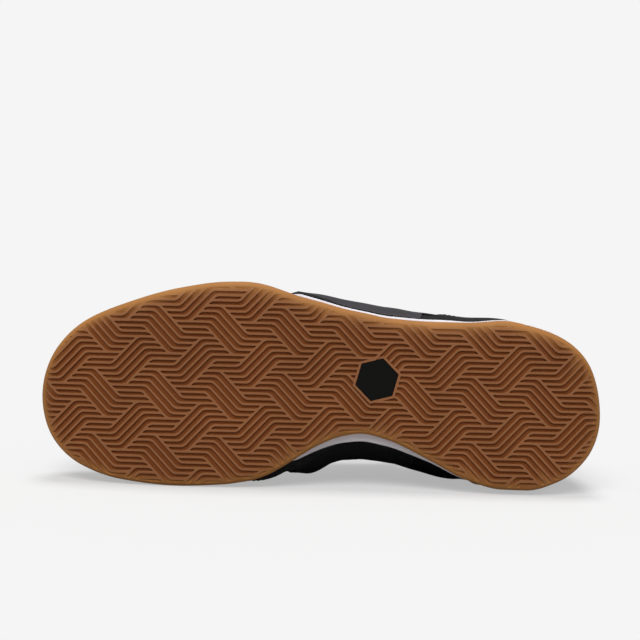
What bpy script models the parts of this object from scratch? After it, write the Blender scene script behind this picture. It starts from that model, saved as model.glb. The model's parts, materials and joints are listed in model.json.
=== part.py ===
"""Left indoor soccer shoe: gum rubber cup sole, foam midsole and low leather upper, lying on its side.

The shoe is modelled as it stands, with its toe towards -X, its medial side towards +Y and +Z up.
The last lines then lay it on its medial side, where the edge of the sole and the upper touch the floor.
"""

import math
from collections import namedtuple

import bmesh
import bpy
from mathutils import Matrix, Vector

# Overall sizes, in metres
SHOE_LENGTH = 0.285
BALL_WIDTH = 0.103
INSTEP_HEIGHT = 0.100
HEEL_STACK = 0.025

# Outsole
FOREFOOT_RUBBER = 0.0042
HEEL_RUBBER = 0.0066
EDGE_ROUND = 0.0042
CUP_WALL = 0.0026
CUP_LEAN = 0.0012
CUP_END = 0.403
CUP_FALL = 0.022
HEXAGON_RADIUS = 0.0113
HEXAGON_DEPTH = 0.0016
HEXAGON_ALONG = 0.600
HEXAGON_OUT = 0.0114
HEXAGON_TURN = math.radians(-15)
INSERT_THICKNESS = 0.0009

# Midsole
FOAM_ROUND = 0.0014
FOAM_RIM = 0.0010

# Upper and what is on it. Places along and heights up the last are shares, as in the tables below.
WALL = 0.0020
OVERLAY = 0.0012
FEATHER_INSET = 0.0022
FEATHER_STEP = 0.0014
LINING = 0.0042
TONGUE_THICKNESS = 0.0045
TONGUE_RISE = 0.030
INSOLE_THICKNESS = 0.0040
INSOLE_MARGIN = 0.0010
INSOLE_ROUND = 0.0012
VAMP_END = 0.330
PANEL_FOOT = 0.02
TOE_PIECE_END = 0.56
COUNTER_ENDS = (0.77, 1.31)
COUNTER_TOP = 0.86
COUNTER_FALL = 0.60
EYESTAY_ENDS = (0.296, 0.612)
EYESTAY_FOOT = 0.93
EYESTAY_WIDEN = 0.13
LINING_ENDS = (0.69, 1.31)
LINING_FOOT = 0.66
LINING_TOP = 0.99
EYELET_RADIUS = 0.0021
EYELET_ROWS = 6
EYELET_FIRST = 0.368
EYELET_LAST = 0.592
EYELET_SETBACK = 0.075
LACE_WIDTH = 0.0066
LACE_THICKNESS = 0.0014

# What lies on or in another piece keeps this gap
GAP = 0.0003

# Steps of the meshes
SOLE_STEPS = 34
UPPER_STEPS = 30
PROFILE_ROWS = (0.0, 0.1, 0.2, 0.3, 0.4, 0.5, 0.6, 0.7, 0.79, 0.87, 0.94, 1.0)

# Outline of the sole: lateral and medial reach from the long axis, as shares of the ball width
Outline = namedtuple("Outline", "along lateral medial")
SOLE_OUTLINE = [
    Outline(0.000, -0.004, 0.004),
    Outline(0.025, 0.226, 0.231),
    Outline(0.075, 0.364, 0.347),
    Outline(0.150, 0.459, 0.412),
    Outline(0.250, 0.542, 0.435),
    Outline(0.330, 0.575, 0.424),
    Outline(0.375, 0.578, 0.405),
    Outline(0.405, 0.560, 0.378),
    Outline(0.430, 0.538, 0.341),
    Outline(0.460, 0.511, 0.287),
    Outline(0.500, 0.484, 0.219),
    Outline(0.540, 0.455, 0.174),
    Outline(0.575, 0.437, 0.159),
    Outline(0.620, 0.414, 0.185),
    Outline(0.700, 0.401, 0.285),
    Outline(0.760, 0.402, 0.369),
    Outline(0.825, 0.415, 0.416),
    Outline(0.870, 0.393, 0.418),
    Outline(0.925, 0.341, 0.374),
    Outline(0.975, 0.221, 0.261),
    Outline(1.000, -0.055, 0.055),
]

# Side of the sole: heights of the tread and of the seat of the upper, as shares of the heel stack
Side = namedtuple("Side", "along tread seat")
SOLE_SIDE = [
    Side(0.00, 0.38, 1.04),
    Side(0.05, 0.25, 0.90),
    Side(0.12, 0.12, 0.76),
    Side(0.20, 0.03, 0.65),
    Side(0.27, 0.00, 0.59),
    Side(0.36, 0.00, 0.58),
    Side(0.43, 0.00, 0.61),
    Side(0.50, 0.04, 0.69),
    Side(0.58, 0.06, 0.78),
    Side(0.66, 0.03, 0.86),
    Side(0.72, 0.00, 0.91),
    Side(0.85, 0.00, 0.98),
    Side(0.93, 0.00, 1.01),
    Side(1.00, 0.09, 1.05),
]

# How far the midsole stands out past the outsole, as shares of the ball width
Flare = namedtuple("Flare", "along lateral medial")
MIDSOLE_FLARE = [
    Flare(0.000, 0.000, 0.000),
    Flare(0.435, 0.000, 0.000),
    Flare(0.460, 0.010, 0.010),
    Flare(0.500, 0.008, 0.024),
    Flare(0.575, 0.006, 0.040),
    Flare(0.650, 0.008, 0.026),
    Flare(0.710, 0.008, 0.008),
    Flare(0.770, 0.000, 0.003),
    Flare(0.930, 0.004, 0.001),
    Flare(1.000, 0.002, 0.002),
]

# Sections of the upper, one for each place along the feather edge.
# along: place on the feather edge, and top_along: place of its top, as shares of the shoe's length.
# height: the top's height, as a share of the instep height.
# centre, gape: middle and half width of the opening, and low_*, high_*: how far the side is
# pushed out near its foot and near its top, as shares of the ball width.
# rise, drop: where those pushes act, as shares of the section's height.
Section = namedtuple(
    "Section",
    "along top_along height centre gape low_lateral low_medial high_lateral high_medial rise drop",
)
SECTIONS = [
    Section(0.000, 0.085, 0.465, -0.005, 0.000, 0.020, 0.020, 0.125, 0.125, 0.52, 0.20),
    Section(0.050, 0.112, 0.490, -0.015, 0.000, 0.020, 0.020, 0.165, 0.165, 0.52, 0.11),
    Section(0.120, 0.158, 0.530, -0.030, 0.000, 0.020, 0.020, 0.235, 0.215, 0.52, 0.06),
    Section(0.200, 0.215, 0.580, -0.045, 0.000, 0.020, 0.020, 0.275, 0.245, 0.50, 0.03),
    Section(0.270, 0.275, 0.635, -0.055, 0.000, 0.025, 0.020, 0.290, 0.245, 0.48, 0.02),
    Section(0.330, 0.335, 0.695, -0.060, 0.000, 0.025, 0.025, 0.285, 0.240, 0.45, 0.02),
    Section(0.360, 0.362, 0.725, -0.060, 0.078, 0.028, 0.080, 0.230, 0.215, 0.42, 0.08),
    Section(0.420, 0.420, 0.800, -0.058, 0.115, 0.045, 0.190, 0.200, 0.245, 0.36, 0.16),
    Section(0.458, 0.457, 0.848, -0.054, 0.130, 0.085, 0.250, 0.185, 0.280, 0.33, 0.20),
    Section(0.500, 0.498, 0.900, -0.050, 0.145, 0.120, 0.228, 0.175, 0.220, 0.30, 0.24),
    Section(0.575, 0.565, 0.970, -0.040, 0.175, 0.134, 0.207, 0.150, 0.195, 0.27, 0.30),
    Section(0.620, 0.612, 1.000, -0.030, 0.212, 0.130, 0.182, 0.130, 0.172, 0.28, 0.32),
    Section(0.670, 0.665, 0.930, -0.015, 0.265, 0.105, 0.150, 0.100, 0.130, 0.30, 0.33),
    Section(0.730, 0.728, 0.790, 0.000, 0.300, 0.082, 0.115, 0.080, 0.105, 0.33, 0.33),
    Section(0.800, 0.800, 0.700, 0.005, 0.308, 0.055, 0.050, 0.065, 0.075, 0.35, 0.33),
    Section(0.870, 0.865, 0.705, 0.015, 0.284, 0.015, 0.010, 0.045, 0.045, 0.35, 0.33),
    Section(0.930, 0.915, 0.765, 0.030, 0.216, 0.010, 0.010, 0.045, 0.045, 0.36, 0.33),
    Section(0.975, 0.955, 0.835, 0.042, 0.125, 0.010, 0.010, 0.045, 0.045, 0.38, 0.33),
    Section(1.000, 0.970, 0.865, 0.050, 0.000, 0.010, 0.010, 0.045, 0.045, 0.38, 0.33),
]
ODD_COLUMNS = ("lateral", "medial", "gape")

# What is cut off behind and above the toe piece, in side view: shares of length and instep height
Edge = namedtuple("Edge", "along height")
TOE_EDGE = [
    Edge(0.150, 1.20),
    Edge(0.158, 0.56),
    Edge(0.168, 0.47),
    Edge(0.185, 0.40),
    Edge(0.215, 0.345),
    Edge(0.265, 0.305),
    Edge(0.340, 0.285),
    Edge(0.420, 0.280),
    Edge(0.505, 0.277),
    Edge(0.522, 0.240),
    Edge(0.530, 0.050),
    Edge(0.640, 0.050),
    Edge(0.640, 1.20),
]

LATERAL, MEDIAL = -1, 1


def turn_of(along):
    """Angle that runs evenly round the toe and the heel: 0 at the tip of the toe, pi at the heel."""
    return math.acos(1 - 2 * min(max(along, 0.0), 1.0))


def between(places, values, place, flat_ends):
    """Smooth curve through a column's values, with no overshoot between them."""
    last = len(places) - 1
    k = max(i for i in range(last) if places[i] <= place or i == 0)
    slopes = [(values[i + 1] - values[i]) / (places[i + 1] - places[i]) for i in range(last)]

    def tangent(i):
        if i in (0, last):
            return 0.0 if flat_ends else slopes[min(i, last - 1)]
        before, after = slopes[i - 1], slopes[i]
        return 0.0 if before * after <= 0 else 2 * before * after / (before + after)

    span = places[k + 1] - places[k]
    s = (place - places[k]) / span
    rise = s * s * (3 - 2 * s)
    into = s * (1 - s) * (1 - s) * span * tangent(k)
    out_of = s * s * (s - 1) * span * tangent(k + 1)
    return values[k] + (values[k + 1] - values[k]) * rise + into + out_of


def column(table, name, along):
    places = [turn_of(row.along) for row in table]
    values = [getattr(row, name) for row in table]
    return between(places, values, turn_of(along), name not in ODD_COLUMNS)


def side_name(side):
    return "lateral" if side == LATERAL else "medial"


def ease(along, start, length):
    s = min(max((along - start) / length, 0.0), 1.0)
    return s * s * (3 - 2 * s)


def outline_point(side, along):
    return Vector(
        (along * SHOE_LENGTH, side * column(SOLE_OUTLINE, side_name(side), along) * BALL_WIDTH, 0)
    )


def outline_normal(side, along):
    """Outward direction of the sole's outline, in plan."""
    turn, step = turn_of(along), 0.01
    ends = []
    for place in (turn - step, turn + step):
        past_tip = place < 0 or place > math.pi
        folded = -place if place < 0 else min(place, 2 * math.pi - place)
        ends.append(outline_point(-side if past_tip else side, (1 - math.cos(folded)) / 2))
    tangent = (ends[1] - ends[0]).normalized()
    return Vector((tangent.y, -tangent.x, 0)) * side * -1


def sole_edge(side, along, inset, height):
    """A point inside the outline, at the height that the function gives for its own place."""
    point = outline_point(side, along) - outline_normal(side, along) * inset
    point.z = height(point.x / SHOE_LENGTH)
    return point


def tread_height(along):
    return column(SOLE_SIDE, "tread", along) * HEEL_STACK


def seat_height(along):
    return column(SOLE_SIDE, "seat", along) * HEEL_STACK


def cup(along):
    """1 where the rubber wraps up the side of the forefoot, and 0 behind it."""
    return 1 - ease(along, CUP_END, CUP_FALL)


def cup_floor(along):
    thicken = ease(along, CUP_END - 0.19, 0.17)
    return tread_height(along) + FOREFOOT_RUBBER + (HEEL_RUBBER - FOREFOOT_RUBBER) * thicken


def cup_top(along):
    return cup_floor(along) + (seat_height(along) - cup_floor(along)) * cup(along)


def midsole_inset(side, along):
    """The midsole sits in the cup at the forefoot and stands out past the outsole behind it."""
    inside = CUP_WALL + 2 * GAP
    outside = -column(MIDSOLE_FLARE, side_name(side), along) * BALL_WIDTH
    return inside + (outside - inside) * ease(along, CUP_END + CUP_FALL + 0.004, 0.026)


def feather_inset(side, along):
    behind = midsole_inset(side, along) + FEATHER_STEP
    return FEATHER_INSET + (behind - FEATHER_INSET) * ease(along, CUP_END - 0.02, 0.075)


def new_object(name, bm, colour, roughness):
    mesh = bpy.data.meshes.new(name)
    bm.to_mesh(mesh)
    bm.free()
    mesh.shade_smooth()
    mesh.set_sharp_from_angle(angle=math.radians(40))
    material = bpy.data.materials.get(colour[0]) or bpy.data.materials.new(colour[0])
    material.use_nodes = True
    shader = material.node_tree.nodes["Principled BSDF"]
    shader.inputs["Base Color"].default_value = (*colour[1], 1)
    shader.inputs["Roughness"].default_value = roughness
    shader.inputs["Metallic"].default_value = 0.0
    mesh.materials.append(material)
    obj = bpy.data.objects.new(name, mesh)
    bpy.context.scene.collection.objects.link(obj)
    return obj


def hide_cutter(obj):
    obj.hide_render = True
    obj.display_type = "WIRE"


def cut(obj, cutter, operation="DIFFERENCE"):
    modifier = obj.modifiers.new(operation.title(), "BOOLEAN")
    modifier.operation = operation
    modifier.solver = "EXACT"
    modifier.object = cutter


GUM = ("gum rubber", (0.36, 0.16, 0.06))
FOAM = ("white foam", (0.78, 0.76, 0.76))
LEATHER = ("black leather", (0.02, 0.02, 0.021))
SUEDE = ("black suede", (0.014, 0.014, 0.014))
TEXTILE = ("black textile", (0.018, 0.018, 0.019))
CORD = ("black cord", (0.012, 0.012, 0.012))
RESIN = ("dark resin", (0.008, 0.008, 0.008))


def sole_stations():
    """Places along the sole: even round its ends, and close where the cup's wall falls away."""
    even = [(1 - math.cos(math.pi * k / SOLE_STEPS)) / 2 for k in range(SOLE_STEPS + 1)]
    step = [CUP_END + CUP_FALL * share for share in (0, 0.3, 0.5, 0.7, 1.0, 1.25, 1.7, 2.3)]
    kept = [a for a in even if not step[0] - 0.012 < a < step[-1] + 0.012]
    return sorted(kept + step)


def plate(name, rows, colour, roughness):
    """A closed plate with the sole's outline. rows: from the middle of its underside, round its edge,
    to the middle of its top, each a function of side and place that gives a point."""
    stations = sole_stations()
    bm = bmesh.new()
    rings = []
    for row in rows:
        lateral = [bm.verts.new(row(LATERAL, a)) for a in stations]
        medial = [bm.verts.new(row(MEDIAL, a)) for a in stations]
        rings.append((lateral, medial))
    for (low_l, low_m), (high_l, high_m) in zip(rings, rings[1:]):
        for k in range(len(stations) - 1):
            bm.faces.new((low_l[k], low_l[k + 1], high_l[k + 1], high_l[k]))
            bm.faces.new((low_m[k + 1], low_m[k], high_m[k], high_m[k + 1]))
    for lateral, medial in (rings[0], rings[-1]):
        for k in range(len(stations) - 1):
            bm.faces.new((lateral[k], medial[k], medial[k + 1], lateral[k + 1]))
    bmesh.ops.remove_doubles(bm, verts=bm.verts, dist=1e-6)
    bmesh.ops.recalc_face_normals(bm, faces=bm.faces)
    return new_object(name, bm, colour, roughness)


def hexagon(name, radius, low, high, colour=RESIN):
    """A six-sided prism at the window in the waist of the outsole."""
    bm = bmesh.new()
    bmesh.ops.create_cone(
        bm, cap_ends=True, segments=6, radius1=radius, radius2=radius, depth=high - low
    )
    place = Matrix.Translation((HEXAGON_ALONG * SHOE_LENGTH, -HEXAGON_OUT, (low + high) / 2))
    # A cone's first corner is on +Y
    bmesh.ops.transform(
        bm, verts=bm.verts, matrix=place @ Matrix.Rotation(HEXAGON_TURN - math.pi / 2, 4, "Z")
    )
    return new_object(name, bm, colour, 0.25)


def make_outsole():
    def row(inset, height):
        return lambda side, a: sole_edge(side, a, inset(a), height)

    rows = [
        row(lambda a: EDGE_ROUND, tread_height),
        row(lambda a: EDGE_ROUND * 0.45, lambda a: tread_height(a) + EDGE_ROUND * 0.13),
        row(lambda a: EDGE_ROUND * 0.14, lambda a: tread_height(a) + EDGE_ROUND * 0.45),
        row(lambda a: 0.0, lambda a: tread_height(a) + EDGE_ROUND),
        row(lambda a: CUP_LEAN * cup(a), lambda a: cup_top(a) - EDGE_ROUND * 0.2),
        row(lambda a: CUP_LEAN * cup(a) + EDGE_ROUND * 0.15, cup_top),
        row(lambda a: CUP_WALL, cup_top),
        row(lambda a: CUP_WALL + GAP, cup_floor),
    ]
    outsole = plate("outsole", rows, GUM, 0.55)
    floor = tread_height(HEXAGON_ALONG) + HEXAGON_DEPTH
    window = hexagon("window_cutter", HEXAGON_RADIUS, -HEXAGON_DEPTH, floor)
    hide_cutter(window)
    cut(outsole, window)
    hexagon("hexagon_insert", HEXAGON_RADIUS - GAP, floor - GAP - INSERT_THICKNESS, floor - GAP)


def make_midsole():
    def row(extra, height):
        return lambda side, a: sole_edge(side, a, midsole_inset(side, a) + extra, height)

    rows = [
        row(FOAM_ROUND, lambda a: cup_floor(a) + GAP),
        row(0.0, lambda a: cup_floor(a) + GAP + FOAM_ROUND),
        row(0.0, lambda a: seat_height(a) - FOAM_RIM),
        row(FOAM_RIM, seat_height),
    ]
    plate("midsole", rows, FOAM, 0.6)


def make_insole():
    def row(extra, height):
        def place(side, along):
            inset = feather_inset(side, along) + WALL + INSOLE_MARGIN + extra
            return sole_edge(side, along, inset, lambda a: seat_height(a) + height)

        return place

    rows = [
        row(0.0, GAP),
        row(0.0, GAP + INSOLE_THICKNESS * 0.7),
        row(INSOLE_ROUND, GAP + INSOLE_THICKNESS),
    ]
    plate("insole", rows, TEXTILE, 0.9)


def skin_point(around, up):
    """Outer face of the upper. around: -1 at the heel, along the lateral side to 0 at the toe, and
    along the medial side to 1 at the heel again. up: 0 at the feather edge, 1 at the top."""
    if abs(around) > 1:
        around -= math.copysign(2, around)
    side = LATERAL if around < 0 else MEDIAL
    along = abs(around)
    name = side_name(side)
    foot = sole_edge(side, along, feather_inset(side, along), lambda a: seat_height(a) + GAP)
    top_out = column(SECTIONS, "centre", along) + side * column(SECTIONS, "gape", along)
    top = Vector(
        (
            column(SECTIONS, "top_along", along) * SHOE_LENGTH,
            top_out * BALL_WIDTH,
            column(SECTIONS, "height", along) * INSTEP_HEIGHT,
        )
    )
    outward = outline_normal(side, along)
    tall = Vector((0, 0, top.z - foot.z))
    low = foot + outward * column(SECTIONS, "low_" + name, along) * BALL_WIDTH
    low += tall * column(SECTIONS, "rise", along)
    high = top + outward * column(SECTIONS, "high_" + name, along) * BALL_WIDTH
    high -= tall * column(SECTIONS, "drop", along)
    left = 1 - up
    return (
        foot * left**3
        + low * 3 * left * left * up
        + high * 3 * left * up * up
        + top * up**3
    )


def skin_normal(around, up):
    ahead, over = 0.003, 0.01
    across = skin_point(around + ahead, up) - skin_point(around - ahead, up)
    upward = skin_point(around, min(up + over, 1.0)) - skin_point(around, max(up - over, 0.0))
    return upward.cross(across).normalized()


def on_ridge(around, up):
    return up > 0.9999 and abs(around) <= VAMP_END + 1e-9


def skin(around, up, lift):
    """A point at a height above the outer face of the upper, or below it where lift is negative."""
    normal = skin_normal(around, up)
    if on_ridge(around, up):
        normal = (normal + skin_normal(-around, up)).normalized()
    return skin_point(around, up) + normal * lift


def rows_between(bottom, top):
    """The upper's own rows between two heights: rows past either end fall on that end."""
    ups = []
    for up in PROFILE_ROWS:
        if up < bottom + 0.012:
            up = bottom
        ups.append(top if up > top - 0.012 else up)
    return ups


def add_panel(bm, a, b, c, d):
    """Two triangles, always split the same way, so that pieces lying on each other stay parallel."""
    bm.faces.new((a, b, c))
    bm.faces.new((a, c, d))


def shell(bm, arounds, low, high, inner, outer, closed=False):
    """Adds a wall that follows the upper from inner to outer lift, between two heights that depend on
    the place around. Where it reaches the ridge of the vamp its two halves join."""
    columns = []
    steps = len(PROFILE_ROWS) - 1
    for around in arounds:
        ups = rows_between(low(around), high(around))
        columns.append(
            [[bm.verts.new(skin(around, up, lift)) for up in ups] for lift in (outer, inner)]
        )
    for k in range(len(arounds) - 1):
        (outer_a, inner_a), (outer_b, inner_b) = columns[k], columns[k + 1]
        for j in range(steps):
            add_panel(bm, outer_a[j], outer_b[j], outer_b[j + 1], outer_a[j + 1])
            add_panel(bm, inner_a[j], inner_b[j], inner_b[j + 1], inner_a[j + 1])
        bm.faces.new((outer_a[0], inner_a[0], inner_b[0], outer_b[0]))
        joined = on_ridge(arounds[k], high(arounds[k])) and on_ridge(
            arounds[k + 1], high(arounds[k + 1])
        )
        if not joined:
            bm.faces.new((outer_a[-1], outer_b[-1], inner_b[-1], inner_a[-1]))
    if not closed:
        for outer_end, inner_end in (columns[0], columns[-1]):
            for j in range(steps):
                bm.faces.new((outer_end[j], outer_end[j + 1], inner_end[j + 1], inner_end[j]))


def finish_shell(name, bm, colour, roughness):
    bmesh.ops.remove_doubles(bm, verts=bm.verts, dist=2e-6)
    bmesh.ops.recalc_face_normals(bm, faces=bm.faces)
    return new_object(name, bm, colour, roughness)


def spread(start, end, count):
    return [start + (end - start) * k / count for k in range(count + 1)]


def upper_arounds():
    even = [(1 - math.cos(math.pi * k / UPPER_STEPS)) / 2 for k in range(UPPER_STEPS + 1)]
    places = sorted(
        [a for a in even if abs(a - VAMP_END) > 0.02 and abs(a - VAMP_END - 0.03) > 0.012]
        + [VAMP_END, VAMP_END + 0.010, VAMP_END + 0.03]
    )
    return [-a for a in reversed(places)] + places[1:]


def stations(start, end):
    """The upper's own places between two ends, so that what lies on it bends where it bends."""
    lap = upper_arounds()
    lap += [2 + a for a in lap[1:]]
    return [a for a in lap if start < a < end]


def eyelet_places():
    return spread(EYELET_FIRST, EYELET_LAST, EYELET_ROWS - 1)


def make_eyelet_cutter():
    bm = bmesh.new()
    reach = 2 * (WALL + OVERLAY + GAP) + EYELET_RADIUS * 2
    for side in (LATERAL, MEDIAL):
        for along in eyelet_places():
            centre = skin_point(side * along, 1 - EYELET_SETBACK)
            direction = skin_normal(side * along, 1 - EYELET_SETBACK)
            turn = direction.to_track_quat("Z", "X").to_matrix().to_4x4()
            bmesh.ops.create_cone(
                bm,
                cap_ends=True,
                segments=8,
                radius1=EYELET_RADIUS,
                radius2=EYELET_RADIUS,
                depth=reach,
                matrix=Matrix.Translation(centre) @ turn,
            )
    cutter = new_object("eyelet_cutter", bm, RESIN, 0.5)
    hide_cutter(cutter)
    return cutter


def make_upper(eyelets):
    bm = bmesh.new()
    shell(bm, upper_arounds(), lambda u: 0.0, lambda u: 1.0, -WALL, 0.0, closed=True)
    cut(finish_shell("upper", bm, LEATHER, 0.45), eyelets)


def side_cutter(name, outline):
    """A slab across the shoe with an outline drawn in side view."""
    bm = bmesh.new()
    ends = []
    for y in (-BALL_WIDTH, BALL_WIDTH):
        ends.append(
            [bm.verts.new((p.along * SHOE_LENGTH, y, p.height * INSTEP_HEIGHT)) for p in outline]
        )
    for k in range(len(outline)):
        following = (k + 1) % len(outline)
        bm.faces.new((ends[0][k], ends[0][following], ends[1][following], ends[1][k]))
    for end in ends:
        bm.faces.new(end)
    bmesh.ops.recalc_face_normals(bm, faces=bm.faces)
    cutter = new_object(name, bm, RESIN, 0.5)
    hide_cutter(cutter)
    return cutter


def make_toe_piece():
    bm = bmesh.new()
    ends = (-TOE_PIECE_END, TOE_PIECE_END)
    shell(bm, stations(*ends), lambda u: PANEL_FOOT, lambda u: 1.0, GAP, GAP + OVERLAY)
    cut(finish_shell("toe_piece", bm, SUEDE, 0.9), side_cutter("toe_edge_cutter", TOE_EDGE))


def counter_edge(around):
    """Upper edge of the heel counter: high at the back, sweeping down and forward on each side."""
    share = abs(around - 1.0) / (COUNTER_ENDS[1] - 1.0)
    return COUNTER_TOP - COUNTER_FALL * min(share, 1.0) ** 1.2


def make_heel_counter():
    bm = bmesh.new()
    shell(bm, stations(*COUNTER_ENDS), lambda u: PANEL_FOOT, counter_edge, GAP, GAP + OVERLAY)
    finish_shell("heel_counter", bm, SUEDE, 0.9)


def eyestay_edge(around):
    """Lower edge of the eyestay: it narrows round the front of the throat."""
    front = ease(abs(around), EYESTAY_ENDS[0], 0.05)
    return EYESTAY_FOOT - EYESTAY_WIDEN * front


def make_eyestay(eyelets):
    bm = bmesh.new()
    for side in (LATERAL, MEDIAL):
        arounds = [side * a for a in stations(*EYESTAY_ENDS)]
        shell(bm, arounds, eyestay_edge, lambda u: 1.0, GAP, GAP + OVERLAY)
    cut(finish_shell("eyestay", bm, LEATHER, 0.45), eyelets)


def make_collar_lining():
    bm = bmesh.new()
    inner, outer = -WALL - GAP - LINING, -WALL - GAP
    shell(bm, stations(*LINING_ENDS), lambda u: LINING_FOOT, lambda u: LINING_TOP, inner, outer)
    finish_shell("collar_lining", bm, TEXTILE, 0.9)


# The tongue follows the inside of the upper and bridges the throat
TONGUE_START = 0.300
TONGUE_TOP = 0.590
TONGUE_TUCK = 0.14
TONGUE_ACROSS = [1.0, 0.75, 0.5, 0.3, 0.1]


def instep_point(along, across, lift):
    """A point on the arch between the two eyestays, at a lift above the tongue.
    across: -1 at the lateral edge of the throat, 1 at its medial edge, and past 1 under the upper."""
    below = -WALL - 2 * GAP + lift
    if abs(across) >= 1:
        side = math.copysign(1, across)
        return skin(side * along, 1 - (abs(across) - 1) * TONGUE_TUCK, below)
    ends = [skin(side * along, 1.0, below) for side in (LATERAL, MEDIAL)]
    deeper = [skin(side * along, 0.97, below) for side in (LATERAL, MEDIAL)]
    span = (ends[1] - ends[0]).length
    heads = [(e - d).normalized() * span * 0.34 for e, d in zip(ends, deeper)]
    s = (across + 1) / 2
    left = 1 - s
    return (
        ends[0] * left**3
        + (ends[0] + heads[0]) * 3 * left * left * s
        + (ends[1] + heads[1]) * 3 * left * s * s
        + ends[1] * s**3
    )


def tongue_rows():
    """Rows of points on the tongue's outer face, from its toe end to its free end."""
    tucks = [1 + share for share in TONGUE_ACROSS]
    across = [-a for a in tucks] + [-0.999, -0.6, -0.2, 0.2, 0.6, 0.999] + tucks[::-1]
    rows = []
    alongs = [TONGUE_START, VAMP_END, 0.345, 0.37, 0.41, 0.45, 0.49, 0.53, 0.56, TONGUE_TOP]
    for along in alongs:
        rows.append([instep_point(along, a, 0.0) for a in across])
    last, before = rows[-1], rows[-2]
    middle = len(across) // 2
    lead = (last[middle] - before[middle]).normalized()
    centre = sum(last, Vector()) / len(last)
    for reach, narrow in ((0.35, 0.97), (0.7, 0.92), (0.92, 0.80), (1.0, 0.66)):
        shift = lead * TONGUE_RISE * reach
        rows.append([centre + shift + (p - centre) * narrow for p in last])
    return rows


def make_tongue():
    rows = tongue_rows()
    bm = bmesh.new()
    grid = [[bm.verts.new(p) for p in row] for row in rows]
    for a, b in zip(grid, grid[1:]):
        for j in range(len(a) - 1):
            bm.faces.new((a[j], a[j + 1], b[j + 1], b[j]))
    bmesh.ops.remove_doubles(bm, verts=bm.verts, dist=2e-6)
    bmesh.ops.recalc_face_normals(bm, faces=bm.faces)
    if sum(f.normal.z for f in bm.faces) < 0:
        bmesh.ops.reverse_faces(bm, faces=bm.faces)
    tongue = new_object("tongue", bm, LEATHER, 0.5)
    modifier = tongue.modifiers.new("Padding", "SOLIDIFY")
    modifier.thickness = TONGUE_THICKNESS
    modifier.offset = -1
    modifier.use_even_offset = False


# Shares of the eyelets' setback, and shares of the way across, where a crossing of the lace has its points
LACE_SETBACKS = (1.25, 0.40)
LACE_SHARES = (0.12, 0.32, 0.50, 0.68, 0.88)
LACE_SINK = 0.38


def strap(name, points, ups):
    """A flat lace through points, with its face turned to ups."""
    bm = bmesh.new()
    half, thick = LACE_WIDTH / 2, LACE_THICKNESS / 2
    corners = ((-half, -thick), (half, -thick), (half, thick), (-half, thick))
    rings = []
    for k, point in enumerate(points):
        ahead = points[min(k + 1, len(points) - 1)] - points[max(k - 1, 0)]
        across = ahead.cross(ups[k]).normalized()
        up = across.cross(ahead).normalized()
        rings.append([bm.verts.new(point + across * x + up * z) for x, z in corners])
    for a, b in zip(rings, rings[1:]):
        for j in range(len(a)):
            following = (j + 1) % len(a)
            bm.faces.new((a[j], a[following], b[following], b[j]))
    for ring in (rings[0], rings[-1]):
        bm.faces.new(ring)
    bmesh.ops.recalc_face_normals(bm, faces=bm.faces)
    return new_object(name, bm, CORD, 0.8)


def lace_path(start, end, side, raised):
    """From on top of the eyelet at start, over the tongue, to the top of the other side's at end."""
    over = GAP * 3 + OVERLAY + LACE_THICKNESS / 2
    rise = WALL + 2 * GAP + over
    points, ups = [], []
    for setback in LACE_SETBACKS:
        up = 1 - EYELET_SETBACK * setback
        points.append(skin(side * start, up, over + raised))
        ups.append(skin_normal(side * start, up))
    for share in LACE_SHARES:
        along = start + (end - start) * share
        lift = rise * (1 - LACE_SINK * math.sin(math.pi * share)) + raised
        across = side * (1 - 2 * share)
        points.append(instep_point(along, across, lift))
        ups.append(instep_point(along, across, lift + LACE_THICKNESS) - points[-1])
    for setback in reversed(LACE_SETBACKS):
        up = 1 - EYELET_SETBACK * setback
        points.append(skin(-side * end, up, over + raised))
        ups.append(skin_normal(-side * end, up))
    return points, ups


def make_laces():
    places = eyelet_places()
    lace = strap("lace", *lace_path(places[0], places[0], LATERAL, 0.0))
    for k in range(EYELET_ROWS - 1):
        for side, raised in ((LATERAL, GAP), (MEDIAL, 2.3 * GAP)):
            path = lace_path(places[k], places[k + 1], side, raised + (k % 2) * 0.7 * GAP)
            crossing = strap("lace_crossing_cutter", *path)
            hide_cutter(crossing)
            cut(lace, crossing, "UNION")


def volume_centre(obj, graph):
    """Volume and centre of an evaluated closed mesh."""
    mesh = obj.evaluated_get(graph).to_mesh()
    mesh.calc_loop_triangles()
    total, moment = 0.0, Vector()
    for triangle in mesh.loop_triangles:
        a, b, c = (mesh.vertices[i].co for i in triangle.vertices)
        volume = a.dot(b.cross(c)) / 6
        total += volume
        moment += (a + b + c) / 4 * volume
    points = [v.co.copy() for v in mesh.vertices]
    obj.evaluated_get(graph).to_mesh_clear()
    return total, moment, points


# Densities by material, in kg per cubic metre
DENSITY = {"gum rubber": 1100, "white foam": 250, "black cord": 600, "dark resin": 1200}
LIGHT_DENSITY = 700


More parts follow.
